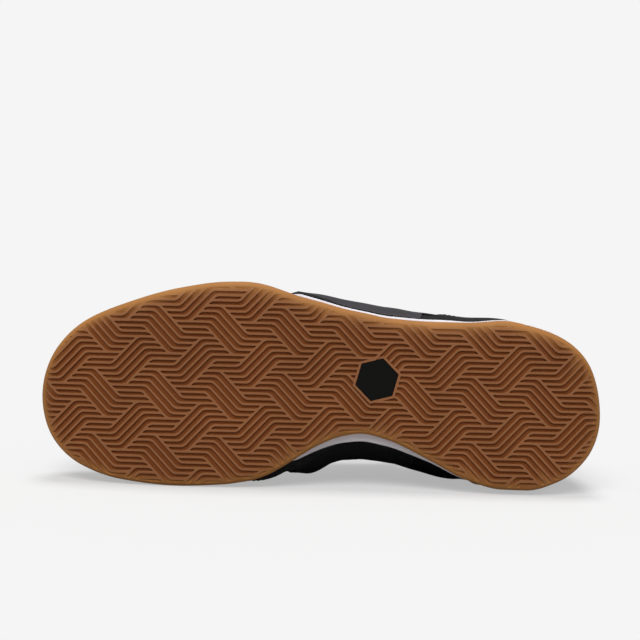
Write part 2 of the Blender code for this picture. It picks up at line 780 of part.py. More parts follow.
def lay_on_side(objects):
    """Rests the shoe on its medial side, on the face of its hull nearest below its centre of mass."""
    bpy.context.view_layer.update()
    graph = bpy.context.evaluated_depsgraph_get()
    mass, moment, points = 0.0, Vector(), []
    for obj in objects:
        volume, first_moment, corners = volume_centre(obj, graph)
        density = DENSITY.get(obj.data.materials[0].name, LIGHT_DENSITY)
        mass += volume * density
        moment += first_moment * density
        points += corners
    centre = moment / mass
    hull = bmesh.new()
    for point in points:
        hull.verts.new(point)
    bmesh.ops.convex_hull(hull, input=hull.verts)
    # Thin slivers of the hull have no reliable normal
    faces = [f for f in hull.faces if f.calc_area() > 1e-8 and f.normal.y > 0.85]
    rest = min(faces, key=lambda f: f.normal.dot(f.verts[0].co - centre))
    down = rest.normal.copy()
    hull.free()
    length = (Vector((1, 0, 0)) - down * down.x).normalized()
    across = (-down).cross(length)
    turn = Matrix((length, across, -down)).to_4x4()
    turned = [turn @ p for p in points]
    low = [min(p[i] for p in turned) for i in range(3)]
    high = [max(p[i] for p in turned) for i in range(3)]
    shift = Vector((-(low[0] + high[0]) / 2, -(low[1] + high[1]) / 2, -low[2]))
    shoe = bpy.data.objects.new("shoe_on_its_side", None)
    bpy.context.scene.collection.objects.link(shoe)
    shoe.matrix_world = Matrix.Translation(shift) @ turn
    for obj in bpy.data.objects:
        if obj != shoe:
            obj.parent = shoe


def main():
    for obj in list(bpy.data.objects):
        bpy.data.objects.remove(obj)
    make_outsole()
    make_midsole()
    make_insole()
    eyelets = make_eyelet_cutter()
    make_upper(eyelets)
    make_toe_piece()
    make_heel_counter()
    make_eyestay(eyelets)
    make_collar_lining()
    make_tongue()
    make_laces()
    lay_on_side([o for o in bpy.data.objects if not o.hide_render])


main()
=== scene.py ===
# %% [markdown]
# # An indoor soccer shoe, seen from beneath
# The shoe lies on its medial side, so its gum rubber tread faces the camera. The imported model
# gives the place and the size of every piece. This lesson makes the finished pieces in the same frame:
# the tread with its cut grooves, the foam above it, and the leather, suede, cloth and cord of the upper.

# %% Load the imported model
import json
import math
from collections import namedtuple
from functools import lru_cache

import bmesh
import bpy
from mathutils import Matrix, Vector
from mathutils.bvhtree import BVHTree


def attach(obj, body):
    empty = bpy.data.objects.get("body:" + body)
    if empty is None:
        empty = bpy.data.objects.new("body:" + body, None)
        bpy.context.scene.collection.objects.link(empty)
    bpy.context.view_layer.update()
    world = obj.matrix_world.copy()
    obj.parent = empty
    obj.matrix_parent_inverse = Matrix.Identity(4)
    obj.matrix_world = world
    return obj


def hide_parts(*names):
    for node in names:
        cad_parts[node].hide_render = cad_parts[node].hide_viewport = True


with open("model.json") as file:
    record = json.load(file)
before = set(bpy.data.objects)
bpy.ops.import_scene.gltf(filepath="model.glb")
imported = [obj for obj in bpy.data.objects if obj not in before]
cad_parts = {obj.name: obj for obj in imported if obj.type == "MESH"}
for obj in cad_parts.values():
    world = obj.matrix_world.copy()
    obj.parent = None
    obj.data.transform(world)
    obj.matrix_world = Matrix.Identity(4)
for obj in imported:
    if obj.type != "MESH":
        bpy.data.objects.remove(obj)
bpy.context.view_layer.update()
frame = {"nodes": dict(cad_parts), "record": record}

# %% [markdown]
# A shoe is drawn as it stands: toe towards -X, medial side towards +Y, ground at zero. The record's
# mount on the tread says where one point of that ground plane lies and which way it faces, and the
# length axis of the shoe lies flat on the floor's own length. Those two facts are the whole turn.

# %% Stand and lie
SHOE_LENGTH = 0.285
BALL_WIDTH = 0.103
INSTEP_HEIGHT = 0.100
HEEL_STACK = 0.025
MOUNT_ALONG = 0.80

mount = frame["record"]["mounts"][0]
sole_up = -Vector(mount["axis"]).normalized()
length_axis = Vector((-sole_up.z, 0, sole_up.x)).normalized()
medial_axis = sole_up.cross(length_axis)
turn_over = Matrix((length_axis, medial_axis, sole_up)).transposed().to_4x4()
LAY_DOWN = (
    Matrix.Translation(mount["pos_m"])
    @ turn_over
    @ Matrix.Translation((-MOUNT_ALONG * SHOE_LENGTH, 0, 0))
)
lean = math.degrees(math.asin(-sole_up.z))
print("the sole leans back by", round(lean, 2), "degrees")

# %% [markdown]
# Curves through a few chosen places describe a shoe better than long lists of points. Each table has
# a row for each place along the shoe, as a share of its length, and the curve between the rows never
# overshoots them. Round the toe and the heel, places are spread by an even angle and not by length.

# %% Curves through the tables
LATERAL, MEDIAL = -1, 1


def turn_of(along):
    """Angle that runs evenly round the toe and the heel: 0 at the tip of the toe, pi at the heel."""
    return math.acos(1 - 2 * min(max(along, 0.0), 1.0))


def between(places, values, place, flat_ends):
    """A curve through the values that never overshoots them, level at its ends where flat_ends is true."""
    last = len(places) - 1
    k = max(i for i in range(last) if places[i] <= place or i == 0)
    slopes = [(values[i + 1] - values[i]) / (places[i + 1] - places[i]) for i in range(last)]

    def tangent(i):
        if i in (0, last):
            return 0.0 if flat_ends else slopes[min(i, last - 1)]
        before, after = slopes[i - 1], slopes[i]
        return 0.0 if before * after <= 0 else 2 * before * after / (before + after)

    span = places[k + 1] - places[k]
    s = (place - places[k]) / span
    rise = s * s * (3 - 2 * s)
    into = s * (1 - s) * (1 - s) * span * tangent(k)
    out_of = s * s * (s - 1) * span * tangent(k + 1)
    return values[k] + (values[k + 1] - values[k]) * rise + into + out_of


TABLES = {}
# At the tips these columns go on into those of the other side, so they aren't level there
ODD_COLUMNS = ("lateral", "medial", "gape")


def table(name, columns, rows):
    """Keeps a table under its name, with a row for each place along the shoe."""
    row_type = namedtuple(name, columns)
    TABLES[name] = [row_type(*row) for row in rows]


@lru_cache(maxsize=None)
def column(table_name, name, along):
    """The value of a table's column at a place along the shoe."""
    rows = TABLES[table_name]
    places = [turn_of(row.along) for row in rows]
    values = [getattr(row, name) for row in rows]
    return between(places, values, turn_of(along), name not in ODD_COLUMNS)


def bezier(a, b, c, d, t):
    """The point at a share of the way along a curve with four handles."""
    left = 1 - t
    return a * left**3 + b * 3 * left * left * t + c * 3 * left * t * t + d * t**3


def side_name(side):
    """The name that a side has in the tables."""
    return "lateral" if side == LATERAL else "medial"


def ease(value, start, length):
    """0 up to the start, 1 from the start plus the length, and a soft S between them."""
    s = min(max((value - start) / length, 0.0), 1.0)
    return s * s * (3 - 2 * s)


# %% The outline and the side of the sole
# Half widths of the sole, as shares of the ball's width
table("outline", "along lateral medial", [
    (0.000, -0.004, 0.004),
    (0.025, 0.226, 0.231),
    (0.075, 0.364, 0.347),
    (0.150, 0.459, 0.412),
    (0.250, 0.542, 0.435),
    (0.330, 0.575, 0.424),
    (0.362, 0.577, 0.411),
    (0.384, 0.572, 0.399),
    (0.405, 0.560, 0.378),
    (0.430, 0.538, 0.341),
    (0.460, 0.511, 0.287),
    (0.500, 0.484, 0.219),
    (0.540, 0.455, 0.174),
    (0.575, 0.437, 0.159),
    (0.620, 0.414, 0.185),
    (0.700, 0.401, 0.285),
    (0.760, 0.402, 0.369),
    (0.825, 0.415, 0.416),
    (0.870, 0.393, 0.418),
    (0.925, 0.341, 0.374),
    (0.975, 0.221, 0.261),
    (1.000, -0.055, 0.055),
])

# Heights of the tread and of the foam's top, as shares of the heel's stack
table("side", "along tread seat", [
    (0.00, 0.38, 1.04),
    (0.05, 0.25, 0.90),
    (0.12, 0.12, 0.76),
    (0.20, 0.03, 0.65),
    (0.27, 0.00, 0.59),
    (0.36, 0.00, 0.58),
    (0.43, 0.00, 0.61),
    (0.50, 0.04, 0.69),
    (0.58, 0.06, 0.78),
    (0.66, 0.03, 0.86),
    (0.72, 0.00, 0.91),
    (0.85, 0.00, 0.98),
    (0.93, 0.00, 1.01),
    (1.00, 0.09, 1.05),
])

# How far the foam stands out past the rubber, as shares of the ball's width
table("flare", "along lateral medial", [
    (0.000, 0.000, 0.000),
    (0.435, 0.000, 0.000),
    (0.460, 0.010, 0.010),
    (0.500, 0.008, 0.024),
    (0.575, 0.006, 0.040),
    (0.650, 0.008, 0.026),
    (0.710, 0.008, 0.008),
    (0.770, 0.000, 0.003),
    (0.930, 0.004, 0.001),
    (1.000, 0.002, 0.002),
])

GAP = 0.0003
CUP_END = 0.403
CUP_FALL = 0.022
CUP_WALL = 0.0026
CUP_LEAN = 0.0012
FOREFOOT_RUBBER = 0.0042
HEEL_RUBBER = 0.0066
# Where the rubber thickens towards the heel, and where the foam comes out past the cup's end
THICKEN_START, THICKEN_LENGTH = CUP_END - 0.19, 0.17
EMERGE_START, EMERGE_LENGTH = CUP_END + CUP_FALL + 0.004, 0.026


def outline_point(side, along):
    """A point of the sole's outline, as seen from beneath."""
    reach = column("outline", side_name(side), along)
    return Vector((along * SHOE_LENGTH, side * reach * BALL_WIDTH, 0))


@lru_cache(maxsize=None)
def outline_normal(side, along):
    """Straight out of the outline. Past a tip, the outline goes on along the other side."""
    turn, step = turn_of(along), 0.01
    ends = []
    for place in (turn - step, turn + step):
        past_tip = place < 0 or place > math.pi
        folded = -place if place < 0 else min(place, 2 * math.pi - place)
        ends.append(outline_point(-side if past_tip else side, (1 - math.cos(folded)) / 2))
    tangent = (ends[1] - ends[0]).normalized()
    return Vector((tangent.y, -tangent.x, 0)) * side * -1


def sole_edge(side, along, inset, height):
    """A point inside the outline, at the height that a function gives for its place."""
    point = outline_point(side, along) - outline_normal(side, along) * inset
    point.z = height(point.x / SHOE_LENGTH)
    return point


def tread_height(along):
    """Height of the tread, which rises at the toe, and a little at the waist and the heel."""
    return column("side", "tread", round(along, 5)) * HEEL_STACK


def seat_height(along):
    """Height of the foam's top, on which the upper sits."""
    return column("side", "seat", round(along, 5)) * HEEL_STACK


def cup(along):
    """1 where the rubber wraps up the side of the forefoot, and 0 behind it."""
    return 1 - ease(along, CUP_END, CUP_FALL)


def cup_floor(along):
    """Height of the rubber's upper face, on which the foam lies."""
    thicken = ease(along, THICKEN_START, THICKEN_LENGTH)
    return tread_height(along) + FOREFOOT_RUBBER + (HEEL_RUBBER - FOREFOOT_RUBBER) * thicken


def cup_top(along):
    """Height of the rubber's side wall, which sinks to the floor where the cup ends."""
    return cup_floor(along) + (seat_height(along) - cup_floor(along)) * cup(along)


def midsole_inset(side, along):
    """How far in from the outline the foam's wall lies, or out from it where negative."""
    inside = CUP_WALL + 2 * GAP
    outside = -column("flare", side_name(side), along) * BALL_WIDTH
    return inside + (outside - inside) * ease(along, EMERGE_START, EMERGE_LENGTH)


ball = column("outline", "lateral", 0.36) + column("outline", "medial", 0.25)
print("ball", round(ball * BALL_WIDTH * 1000, 1), "mm wide")

# %% [markdown]
# Every piece is shaped standing up and laid on its side last of all, so two functions finish them:
# one turns the mesh into an object at the origin, shades it and gives it its material, and the other
# lets it ride on the shoe's one body.

# %% Finishing a piece
def srgb(code):
    """A hex colour as the linear numbers that a shader takes."""
    parts = [int(code[k:k + 2], 16) / 255 for k in (0, 2, 4)]
    return tuple(c / 12.92 if c <= 0.04045 else ((c + 0.055) / 1.055) ** 2.4 for c in parts) + (1.0,)


def new_object(name, data):
    """An object in the scene, made of a mesh, a lamp or a camera."""
    obj = bpy.data.objects.new(name, data)
    bpy.context.scene.collection.objects.link(obj)
    return obj


def mesh_from(bm, name):
    """A mesh with what the bmesh holds, which is freed."""
    mesh = bpy.data.meshes.new(name)
    bm.to_mesh(mesh)
    bm.free()
    return mesh


def make_piece(name, bm, material, sharp=40):
    """Lays a piece on its side and shades it smooth, but for edges that turn by more than an angle."""
    bmesh.ops.transform(bm, matrix=LAY_DOWN, verts=bm.verts)
    mesh = mesh_from(bm, name)
    mesh.shade_smooth()
    mesh.set_sharp_from_angle(angle=math.radians(sharp))
    mesh.materials.append(material)
    return new_object(name, mesh)


def stands_for(obj, slot, *nodes):
    """Lets a piece ride on the shoe's body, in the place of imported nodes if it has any."""
    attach(obj, "root")
    if nodes:
        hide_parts(*nodes)
    triangles = sum(len(p.vertices) - 2 for p in obj.data.polygons)
    print(obj.name, "for", nodes or "nothing", "-", triangles, "triangles")


def add_node(tree, kind, links=None, **settings):
    """A node with its settings, and links from other sockets into its own inputs."""
    node = tree.nodes.new(kind)
    inputs = settings.pop("inputs", {})
    for key, value in settings.items():
        setattr(node, key, value)
    for key, value in inputs.items():
        node.inputs[key].default_value = value
    for key, socket in (links or {}).items():
        tree.links.new(socket, node.inputs[key])
    return node


def new_material(name, **values):
    """A material with its node tree and its shader, whose sockets get the values."""
    material = bpy.data.materials.new(name)
    material.use_nodes = True
    shader = material.node_tree.nodes["Principled BSDF"]
    for key, value in values.items():
        shader.inputs[key.replace("_", " ")].default_value = value
    return material, material.node_tree, shader


def object_place(tree):
    """Coordinates in metres that stay with the object."""
    return add_node(tree, "ShaderNodeTexCoord").outputs["Object"]


def soft_noise(tree, place, scale, detail, **inputs):
    """Cloudy noise with this many lumps to the metre."""
    inputs.update(Scale=scale, Detail=detail)
    return add_node(tree, "ShaderNodeTexNoise", {"Vector": place}, inputs=inputs).outputs["Fac"]


def cells(tree, place, size, feature="F1", **inputs):
    """Packed cells of a size in metres, as the distance from their centres or their edges."""
    inputs["Scale"] = 1 / size
    node = add_node(tree, "ShaderNodeTexVoronoi", {"Vector": place}, feature=feature, inputs=inputs)
    return node.outputs["Distance"]


def remap(tree, value, **inputs):
    """Stretches or shifts the range of a value."""
    inputs = {key.replace("_", " "): number for key, number in inputs.items()}
    return add_node(tree, "ShaderNodeMapRange", {"Value": value}, inputs=inputs).outputs["Result"]


def combine(tree, operation, links, **settings):
    """One step of arithmetic on values."""
    return add_node(tree, "ShaderNodeMath", links, operation=operation, **settings).outputs["Value"]


def colours(tree, value, *stops):
    """Colours for a value from 0 to 1, through stops that each give a place and a colour."""
    node = add_node(tree, "ShaderNodeValToRGB", {"Fac": value})
    elements = node.color_ramp.elements
    for position, code in stops[1:-1]:
        elements.new(position)
    for element, (position, code) in zip(elements, stops):
        element.position = position
        element.color = srgb(code)
    return node.outputs["Color"]


def add_bump(tree, shader, height, strength, distance, **settings):
    """Fine relief from a height. The distance is how deep it seems to be, in metres."""
    inputs = {"Strength": strength, "Distance": distance}
    bump = add_node(tree, "ShaderNodeBump", {"Height": height}, inputs=inputs, **settings)
    tree.links.new(bump.outputs["Normal"], shader.inputs["Normal"])


# %% [markdown]
# ## Gum rubber
# The outsole is natural rubber, pressed hot in a steel mould. It is the brown of caramel,
# a little translucent at thin edges, and matte with a soft sheen. Painted shade makes the floors of the
# grooves darker than the paler tops of the ribs, and painted light turns the rolled edge a lighter orange.

# %% The gum rubber's material
gum, tree, shader = new_material("moulded gum rubber", Roughness=0.62, IOR=1.52, Specular_IOR_Level=0.18)
place = object_place(tree)
depth = add_node(tree, "ShaderNodeAttribute", attribute_name="groove").outputs["Fac"]
rim = add_node(tree, "ShaderNodeAttribute", attribute_name="rim").outputs["Fac"]
cloud = soft_noise(tree, place, 38, 4, Roughness=0.55)
# Painted shade: the colour darkens and browns from the rib tops down to the floors of the grooves
ribs = colours(tree, depth, (0.0, "915e3b"), (0.28, "824e22"), (1.0, "7e4318"))
# Painted light: the rolled edge is mixed towards a lighter orange, where the light from above falls on the
# roll
lit_edge_colour = add_node(
    tree, "ShaderNodeMix", {"Factor": rim, 6: ribs}, data_type="RGBA", inputs={7: srgb("aa733b")}
)
mottle = remap(tree, cloud, From_Min=0.3, From_Max=0.7, To_Min=0.92, To_Max=1.07)
tint = add_node(
    tree, "ShaderNodeVectorMath", {0: lit_edge_colour.outputs[2], 1: mottle}, operation="MULTIPLY"
)
tree.links.new(tint.outputs["Vector"], shader.inputs["Base Color"])
add_bump(tree, shader, soft_noise(tree, place, 1500, 3, Roughness=0.6), 0.12, 0.0003)
print("gum rubber: painted_light on the ribs, dark floors")

# %% [markdown]
# ## The tread pattern
# The ribs run in bundles of five. Each bundle comes in level, climbs at about forty-five degrees,
# and goes on level, and the next row of bundles climbs the other way, so that they seem to be woven.
# The grooves between the ribs are what a mould maker would cut, so each groove is drawn as a flat
# shape between two ribs, and one tile of them is repeated over the sole.

# %% One tile of grooves
TREAD_PITCH = 0.03205
RIB_RISE = 0.00274
RIB_RUN = 0.0130
BEND_STEP = 0.001763
ROWS_IN_A_TILE = 12
TREAD_ORIGIN = (0.0468, 0.0148)
BEND_ROUND = 0.0014
END_ROUND = 0.0012

# Where an outline turns by more than this, it is the end of a groove and not a bend in it
TIGHT_TURN = 80
PLUG_HEIGHT = 0.003

# Half of a rib's width at each depth of the groove beside it
GROOVE_PROFILE = [
    (0.00035, -0.00005),
    (0.00050, 0.00004),
    (0.00065, 0.00024),
    (0.00076, 0.00085),
    (0.00084, 0.00120),
]


def bend_x(k):
    """Where rib k of a bundle leaves its level stretch to climb."""
    return -(RIB_RUN + 4 * BEND_STEP) / 2 + k * BEND_STEP


def left_end(k):
    """Where the groove's edge along rib k ends on the left, on a rib of the neighbouring bundle."""
    level = -(k + 0.5)
    if k <= 0:
        return -TREAD_PITCH + bend_x(4) + RIB_RUN - RIB_RUN / 5 * (0.5 - level)
    return -TREAD_PITCH / 2 + bend_x(4) + RIB_RUN / 5 * (-1.5 - level)


def groove_outlines():
    """Outlines of the five grooves of one bundle, y up, in metres."""
    outlines = []
    for m in range(1, 5):
        upper, lower = m - 1, m
        # The first groove starts on the bundle before, and the last ends on the bundle after
        lower_left = left_end(0) - RIB_RUN / 5 if m == 1 else left_end(lower)
        upper_left = left_end(0) if m == 1 else left_end(upper)
        mirror = 5 - m
        far_lower = left_end(0) if mirror == 1 else left_end(mirror - 1)
        far_upper = left_end(0) - RIB_RUN / 5 if mirror == 1 else left_end(mirror)
        corners = [
            (upper_left, -(upper + 0.5)),
            (bend_x(upper), -(upper + 0.5)),
            (bend_x(upper) + RIB_RUN, 4.5 - upper),
            (-far_upper, 4.5 - upper),
            (-far_lower, 4.5 - lower),
            (bend_x(lower) + RIB_RUN, 4.5 - lower),
            (bend_x(lower), -(lower + 0.5)),
            (lower_left, -(lower + 0.5)),
        ]
        outlines.append([(x, level * RIB_RISE) for x, level in corners])
    start = -TREAD_PITCH + bend_x(4) + RIB_RUN
    outlines.append(
        [
            (start - RIB_RUN / 5, -0.5 * RIB_RISE),
            (start, 0.5 * RIB_RISE),
            (bend_x(0) + RIB_RUN / 5, 0.5 * RIB_RISE),
            (bend_x(0), -0.5 * RIB_RISE),
        ]
    )
    return outlines


def corner_turn(vert):
    """How sharply the outline turns at a corner of a flat face, in degrees."""
    a, b = (edge.other_vert(vert).co - vert.co for edge in vert.link_edges)
    return 180 - math.degrees(a.angle(b))


def groove_tile(flip):
    """Cutters for one bundle: closed plugs whose sides follow the groove's profile."""
    bm = bmesh.new()
    for outline in groove_outlines():
        bm.faces.new([bm.verts.new((x, y * flip, 0)) for x, y in outline])
    bmesh.ops.recalc_face_normals(bm, faces=bm.faces)
    for face in bm.faces:
        if face.normal.z < 0:
            face.normal_flip()
    half, start = GROOVE_PROFILE[0]
    rims = bmesh.ops.inset_individual(bm, faces=bm.faces, thickness=half, use_even_offset=True)
    bmesh.ops.delete(bm, geom=rims["faces"], context="FACES")
    soft = [v for v in bm.verts if corner_turn(v) < TIGHT_TURN]
    tight = [v for v in bm.verts if corner_turn(v) >= TIGHT_TURN]
    for verts, offset, segments in ((soft, BEND_ROUND, 3), (tight, END_ROUND, 2)):
        bmesh.ops.bevel(
            bm, geom=verts, offset=offset, offset_type="OFFSET", segments=segments, profile=0.5,
            affect="VERTICES", material=-1,
        )
    bmesh.ops.translate(bm, vec=(0, 0, start), verts=bm.verts)
    floors = list(bm.faces)
    grown = bmesh.ops.extrude_face_region(bm, geom=floors)
    lids = [f for f in grown["geom"] if isinstance(f, bmesh.types.BMFace)]
    bmesh.ops.translate(bm, vec=(0, 0, -PLUG_HEIGHT), verts=list({v for f in lids for v in f.verts}))
    bmesh.ops.recalc_face_normals(bm, faces=bm.faces)
    floors = [f for f in bm.faces if f.normal.z > 0.9]
    for (wide, high), (narrow, low) in zip(GROOVE_PROFILE, GROOVE_PROFILE[1:]):
        bmesh.ops.inset_individual(
            bm, faces=floors, thickness=narrow - wide, depth=low - high, use_even_offset=True
        )
    return bm


tile = groove_tile(1)
deepest = max(v.co.z for v in tile.verts) * 1000
print("one bundle:", len(tile.faces), "faces, deepest", round(deepest, 2), "mm")
tile.free()

# %% [markdown]
# The tile is repeated along the sole and across it. A bundle that would miss the sole altogether is
# left out. The shoe's own axis is the pattern's axis, and one bundle's centre fixes the phase.

# %% All the grooves
def spread_tiles():
    """Copies of the bundle and of its mirror image, wherever one would meet the sole."""
    cutter = bmesh.new()
    tall = ROWS_IN_A_TILE * RIB_RISE
    for flip, shift in ((-1, (0, 0)), (1, (TREAD_PITCH / 2, tall / 2))):
        source = mesh_from(groove_tile(flip), "tile")
        for i in range(-2, 10):
            for j in range(-3, 4):
                centre_x = TREAD_ORIGIN[0] + shift[0] + i * TREAD_PITCH
                centre_y = TREAD_ORIGIN[1] + shift[1] + j * tall
                along = centre_x / SHOE_LENGTH
                if not -0.09 < along < 1.09:
                    continue
                inside = min(max(along, 0.02), 0.98)
                side = LATERAL if centre_y < 0 else MEDIAL
                if abs(centre_y) > abs(outline_point(side, inside).y) + tall * 0.75:
                    continue
                before = len(cutter.verts)
                cutter.from_mesh(source)
                cutter.verts.ensure_lookup_table()
                bmesh.ops.translate(cutter, vec=(centre_x, centre_y, 0), verts=cutter.verts[before:])
        bpy.data.meshes.remove(source)
    return cutter


# %% [markdown]
# ## The outsole
# The rubber starts as a face with the sole's outline. Ring after ring is extruded from it: first the
# flat of the tread, then the roll of its edge, the side wall that wraps the forefoot, its rim, and
# down inside to the bed that the foam sits in. Grooves of one depth fade out by themselves where
# the roll lifts the surface above their floors, as they do on the real sole.

# %% The blank of the outsole
# How far in from the outline, and how far above the tread, the roll of the edge lies
EDGE_ROLL = [
    (0.0080, 0.00000),
    (0.0060, 0.00006),
    (0.0045, 0.00020),
    (0.0032, 0.00046),
    (0.0021, 0.00088),
    (0.0013, 0.00140),
    (0.0007, 0.00205),
    (0.0002, 0.00300),
    (0.0000, 0.00420),
]
OUTLINE_STEPS = 120
RIM_ROUND = 0.0006
WIDER_ROLL = 0.55


def outline_places(steps=OUTLINE_STEPS):
    """Places all the way round: along the lateral side to the heel, and back along the medial side."""
    lap = []
    for k in range(2 * steps):
        turn = math.pi * k / steps
        side = LATERAL if turn < math.pi else MEDIAL
        along = (1 - math.cos(turn)) / 2
        lap.append((side, round(along, 7)))
    return lap


def lofted(rings):
    """A closed solid through rings of points: the first is its face, and each next one is extruded."""
    bm = bmesh.new()
    face = bm.faces.new([bm.verts.new(p) for p in rings[0]])
    edges = list(face.edges)
    for ring in rings[1:]:
        made = bmesh.ops.extrude_edge_only(bm, edges=edges)["geom"]
        verts = [g for g in made if isinstance(g, bmesh.types.BMVert)]
        edges = [g for g in made if isinstance(g, bmesh.types.BMEdge)]
        for vert, point in zip(verts, ring):
            vert.co = point
    bmesh.ops.contextual_create(bm, geom=edges)
    bmesh.ops.recalc_face_normals(bm, faces=bm.faces)
    return bm


def edge_ring(inset, height):
    """Points round the sole, for an inset and a height that may change along it."""
    return [sole_edge(side, along, inset(side, along), height) for side, along in outline_places()]


def rings_along(inset, rows):
    """Rings that keep to an inset. A row gives how much further in, a height and what is added to it."""
    return [
        edge_ring(lambda s, a, e=extra: inset(s, a) + e, lambda a, h=height, r=rise: h(a) + r)
        for extra, height, rise in rows
    ]


def roll_width(side, along):
    """The roll is wider along the lateral side, where the rubber is seen to wrap upwards."""
    if side == MEDIAL:
        return 1.0
    return 1 + WIDER_ROLL * ease(along, 0.02, 0.14) * (1 - ease(along, 0.90, 0.08))


def over_tread(height, drop):
    """The same height counted from the tread, less a drop."""
    return lambda along: height(along) - tread_height(along) - drop


def flat_rings():
    """Rings of the outsole's blank, with its heights counted from the tread."""
    def roll(inset, height):
        return edge_ring(lambda s, a: inset * roll_width(s, a), lambda a: height)

    def rim(inset, drop):
        height = over_tread(cup_top, drop)
        return edge_ring(lambda s, a: CUP_LEAN * cup(a) + inset, height)

    def inner(inset, height):
        return edge_ring(lambda s, a: inset, over_tread(height, 0.0))

    rings = [roll(inset, height) for inset, height in EDGE_ROLL]
    rings += [rim(0.0, RIM_ROUND), rim(RIM_ROUND * 0.3, RIM_ROUND * 0.3), rim(RIM_ROUND, 0.0)]
    rings += [inner(CUP_WALL, cup_top), inner(CUP_WALL + GAP, cup_floor)]
    return rings


blank = lofted(flat_rings())
print("blank:", len(blank.faces), "faces")

# %% [markdown]
# A mould maker cuts the grooves' shape into steel. Here a Boolean takes the groove plugs out of the
# blank while its tread is still flat. The blank is sliced across first, so that it can bend afterwards
# to the toe spring and the arch without a straight rib turning into a kink.

# %% Cut the tread, then bend it
HEXAGON_RADIUS = 0.0113
HEXAGON_DEPTH = 0.0016
HEXAGON_ALONG = 0.600
HEXAGON_OUT = 0.0114
HEXAGON_TURN = math.radians(-15)
HEXAGON_BORDER = 0.0014
# Distances between slices up to the end of the toe spring, and behind it
SPRING_END = 0.28
CLOSE_SLICES, WIDE_SLICES = 0.0032, 0.0075
# A groove this deep has the full painted shade, and an edge that rises this much has the full painted light
FULL_GROOVE = 0.0011
LIT_EDGE_RISE = 0.0016


def boolean(base, tool, operation):
    """Joins or cuts two closed meshes, and gives the result as a new bmesh."""
    objects = [new_object(name, mesh_from(bm, name)) for name, bm in (("base", base), ("tool", tool))]
    modifier = objects[0].modifiers.new("Cut", "BOOLEAN")
    modifier.operation = operation
    modifier.solver = "MANIFOLD"
    modifier.object = objects[1]
    graph = bpy.context.evaluated_depsgraph_get()
    cut = bpy.data.meshes.new_from_object(objects[0].evaluated_get(graph))
    result = bmesh.new()
    result.from_mesh(cut)
    bpy.data.meshes.remove(cut)
    for obj in objects:
        bpy.data.meshes.remove(obj.data)
    return result


def hexagon_prism(radius, low, high):
    """A solid with six sides, where the window is and turned as it is."""
    bm = bmesh.new()
    centre = Vector((HEXAGON_ALONG * SHOE_LENGTH, -HEXAGON_OUT, (low + high) / 2))
    bmesh.ops.create_cone(
        bm, cap_ends=True, segments=6, radius1=radius, radius2=radius, depth=high - low,
        matrix=Matrix.Translation(centre) @ Matrix.Rotation(HEXAGON_TURN - math.pi / 2, 4, "Z"),
    )
    return bm


def slice_across(bm, places):
    """Cuts edges across the faces at places along the shoe."""
    for x in places:
        bmesh.ops.bisect_plane(
            bm, geom=list(bm.verts) + list(bm.edges) + list(bm.faces), dist=1e-7,
            plane_co=(x, 0, 0), plane_no=(1, 0, 0),
        )


def bend_places():
    """Places to slice at: close where the toe turns up, wider where the sole is nearly flat."""
    places = []
    x = 0.003
    while x < SHOE_LENGTH:
        places.append(x)
        x += CLOSE_SLICES if x < SPRING_END * SHOE_LENGTH else WIDE_SLICES
    return places


slice_across(blank, bend_places())
surface = BVHTree.FromBMesh(blank)
sole = boolean(blank, spread_tiles(), "DIFFERENCE")
print("grooved:", len(sole.faces), "faces")
border = hexagon_prism(HEXAGON_RADIUS + HEXAGON_BORDER, 0.00002, HEXAGON_DEPTH + 0.0002)
sole = boolean(sole, border, "UNION")
sole = boolean(sole, hexagon_prism(HEXAGON_RADIUS, -0.001, HEXAGON_DEPTH), "DIFFERENCE")
slice_across(sole, bend_places())
bmesh.ops.remove_doubles(sole, verts=sole.verts, dist=0.00002)
bmesh.ops.dissolve_degenerate(sole, edges=sole.edges, dist=0.00001)
print("open edges:", sum(not edge.is_manifold for edge in sole.edges))
# The groove attribute sets the painted shade by how deep a point lies below the blank, and the rim
# attribute sets the painted light by how far the rolled edge rises
groove = sole.verts.layers.float.new("groove")
rim = sole.verts.layers.float.new("rim")
for vert in sole.verts:
    hit = surface.ray_cast(Vector((vert.co.x, vert.co.y, -0.01)), Vector((0, 0, 1)))[0]
    under = vert.co.z - hit.z if hit and vert.co.z < HEXAGON_DEPTH + 1e-4 else 0.0
    vert[groove] = min(max(under / FULL_GROOVE, 0.0), 1.0)
    vert[rim] = ease(hit.z, 0.00003, LIT_EDGE_RISE) if hit else 1.0
for vert in sole.verts:
    vert.co.z += tread_height(vert.co.x / SHOE_LENGTH)
outsole = make_piece("gum_outsole", sole, gum, sharp=62)
weighted = outsole.modifiers.new("Even shading", "WEIGHTED_NORMAL")
weighted.keep_sharp = True
stands_for(outsole, "gum_rubber", "outsole")

# %% [markdown]
# ## The window and the foam
# The six-sided plate behind the window is dark resin, smooth from its mould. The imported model's own
# plate has the right shape and stays, with a better finish. The foam is moulded EVA: white, very
# finely grained, with soft edges. In the forefoot it sits inside the rubber's wall, and from the
# waist back it stands out past the rubber as a thin bright line.

# %% The resin plate
resin, tree, shader = new_material(
    "moulded dark resin", Base_Color=srgb("0e0e0d"), Roughness=0.55, IOR=1.54, Specular_IOR_Level=0.08
)
add_bump(tree, shader, soft_noise(tree, object_place(tree), 2600, 2), 0.1, 0.0001)
plate = frame["nodes"]["hexagon_insert"]
for slot in plate.material_slots:
    slot.material = resin
print("plate:", plate.name, "in", resin.name)

# %% The foam midsole
foam, tree, shader = new_material("moulded EVA foam", Roughness=0.62, IOR=1.48)
place = object_place(tree)
soil = colours(tree, soft_noise(tree, place, 60, 5), (0.35, "e4dfe5"), (0.6, "ebe7ec"))
tree.links.new(soil, shader.inputs["Base Color"])
add_bump(tree, shader, soft_noise(tree, place, 2200, 2), 0.2, 0.00015)
FOAM_ROUND = 0.0014
FOAM_SWELL = 0.0003


def foam_floor(along):
    """Height of the foam's underside."""
    return cup_floor(along) + GAP


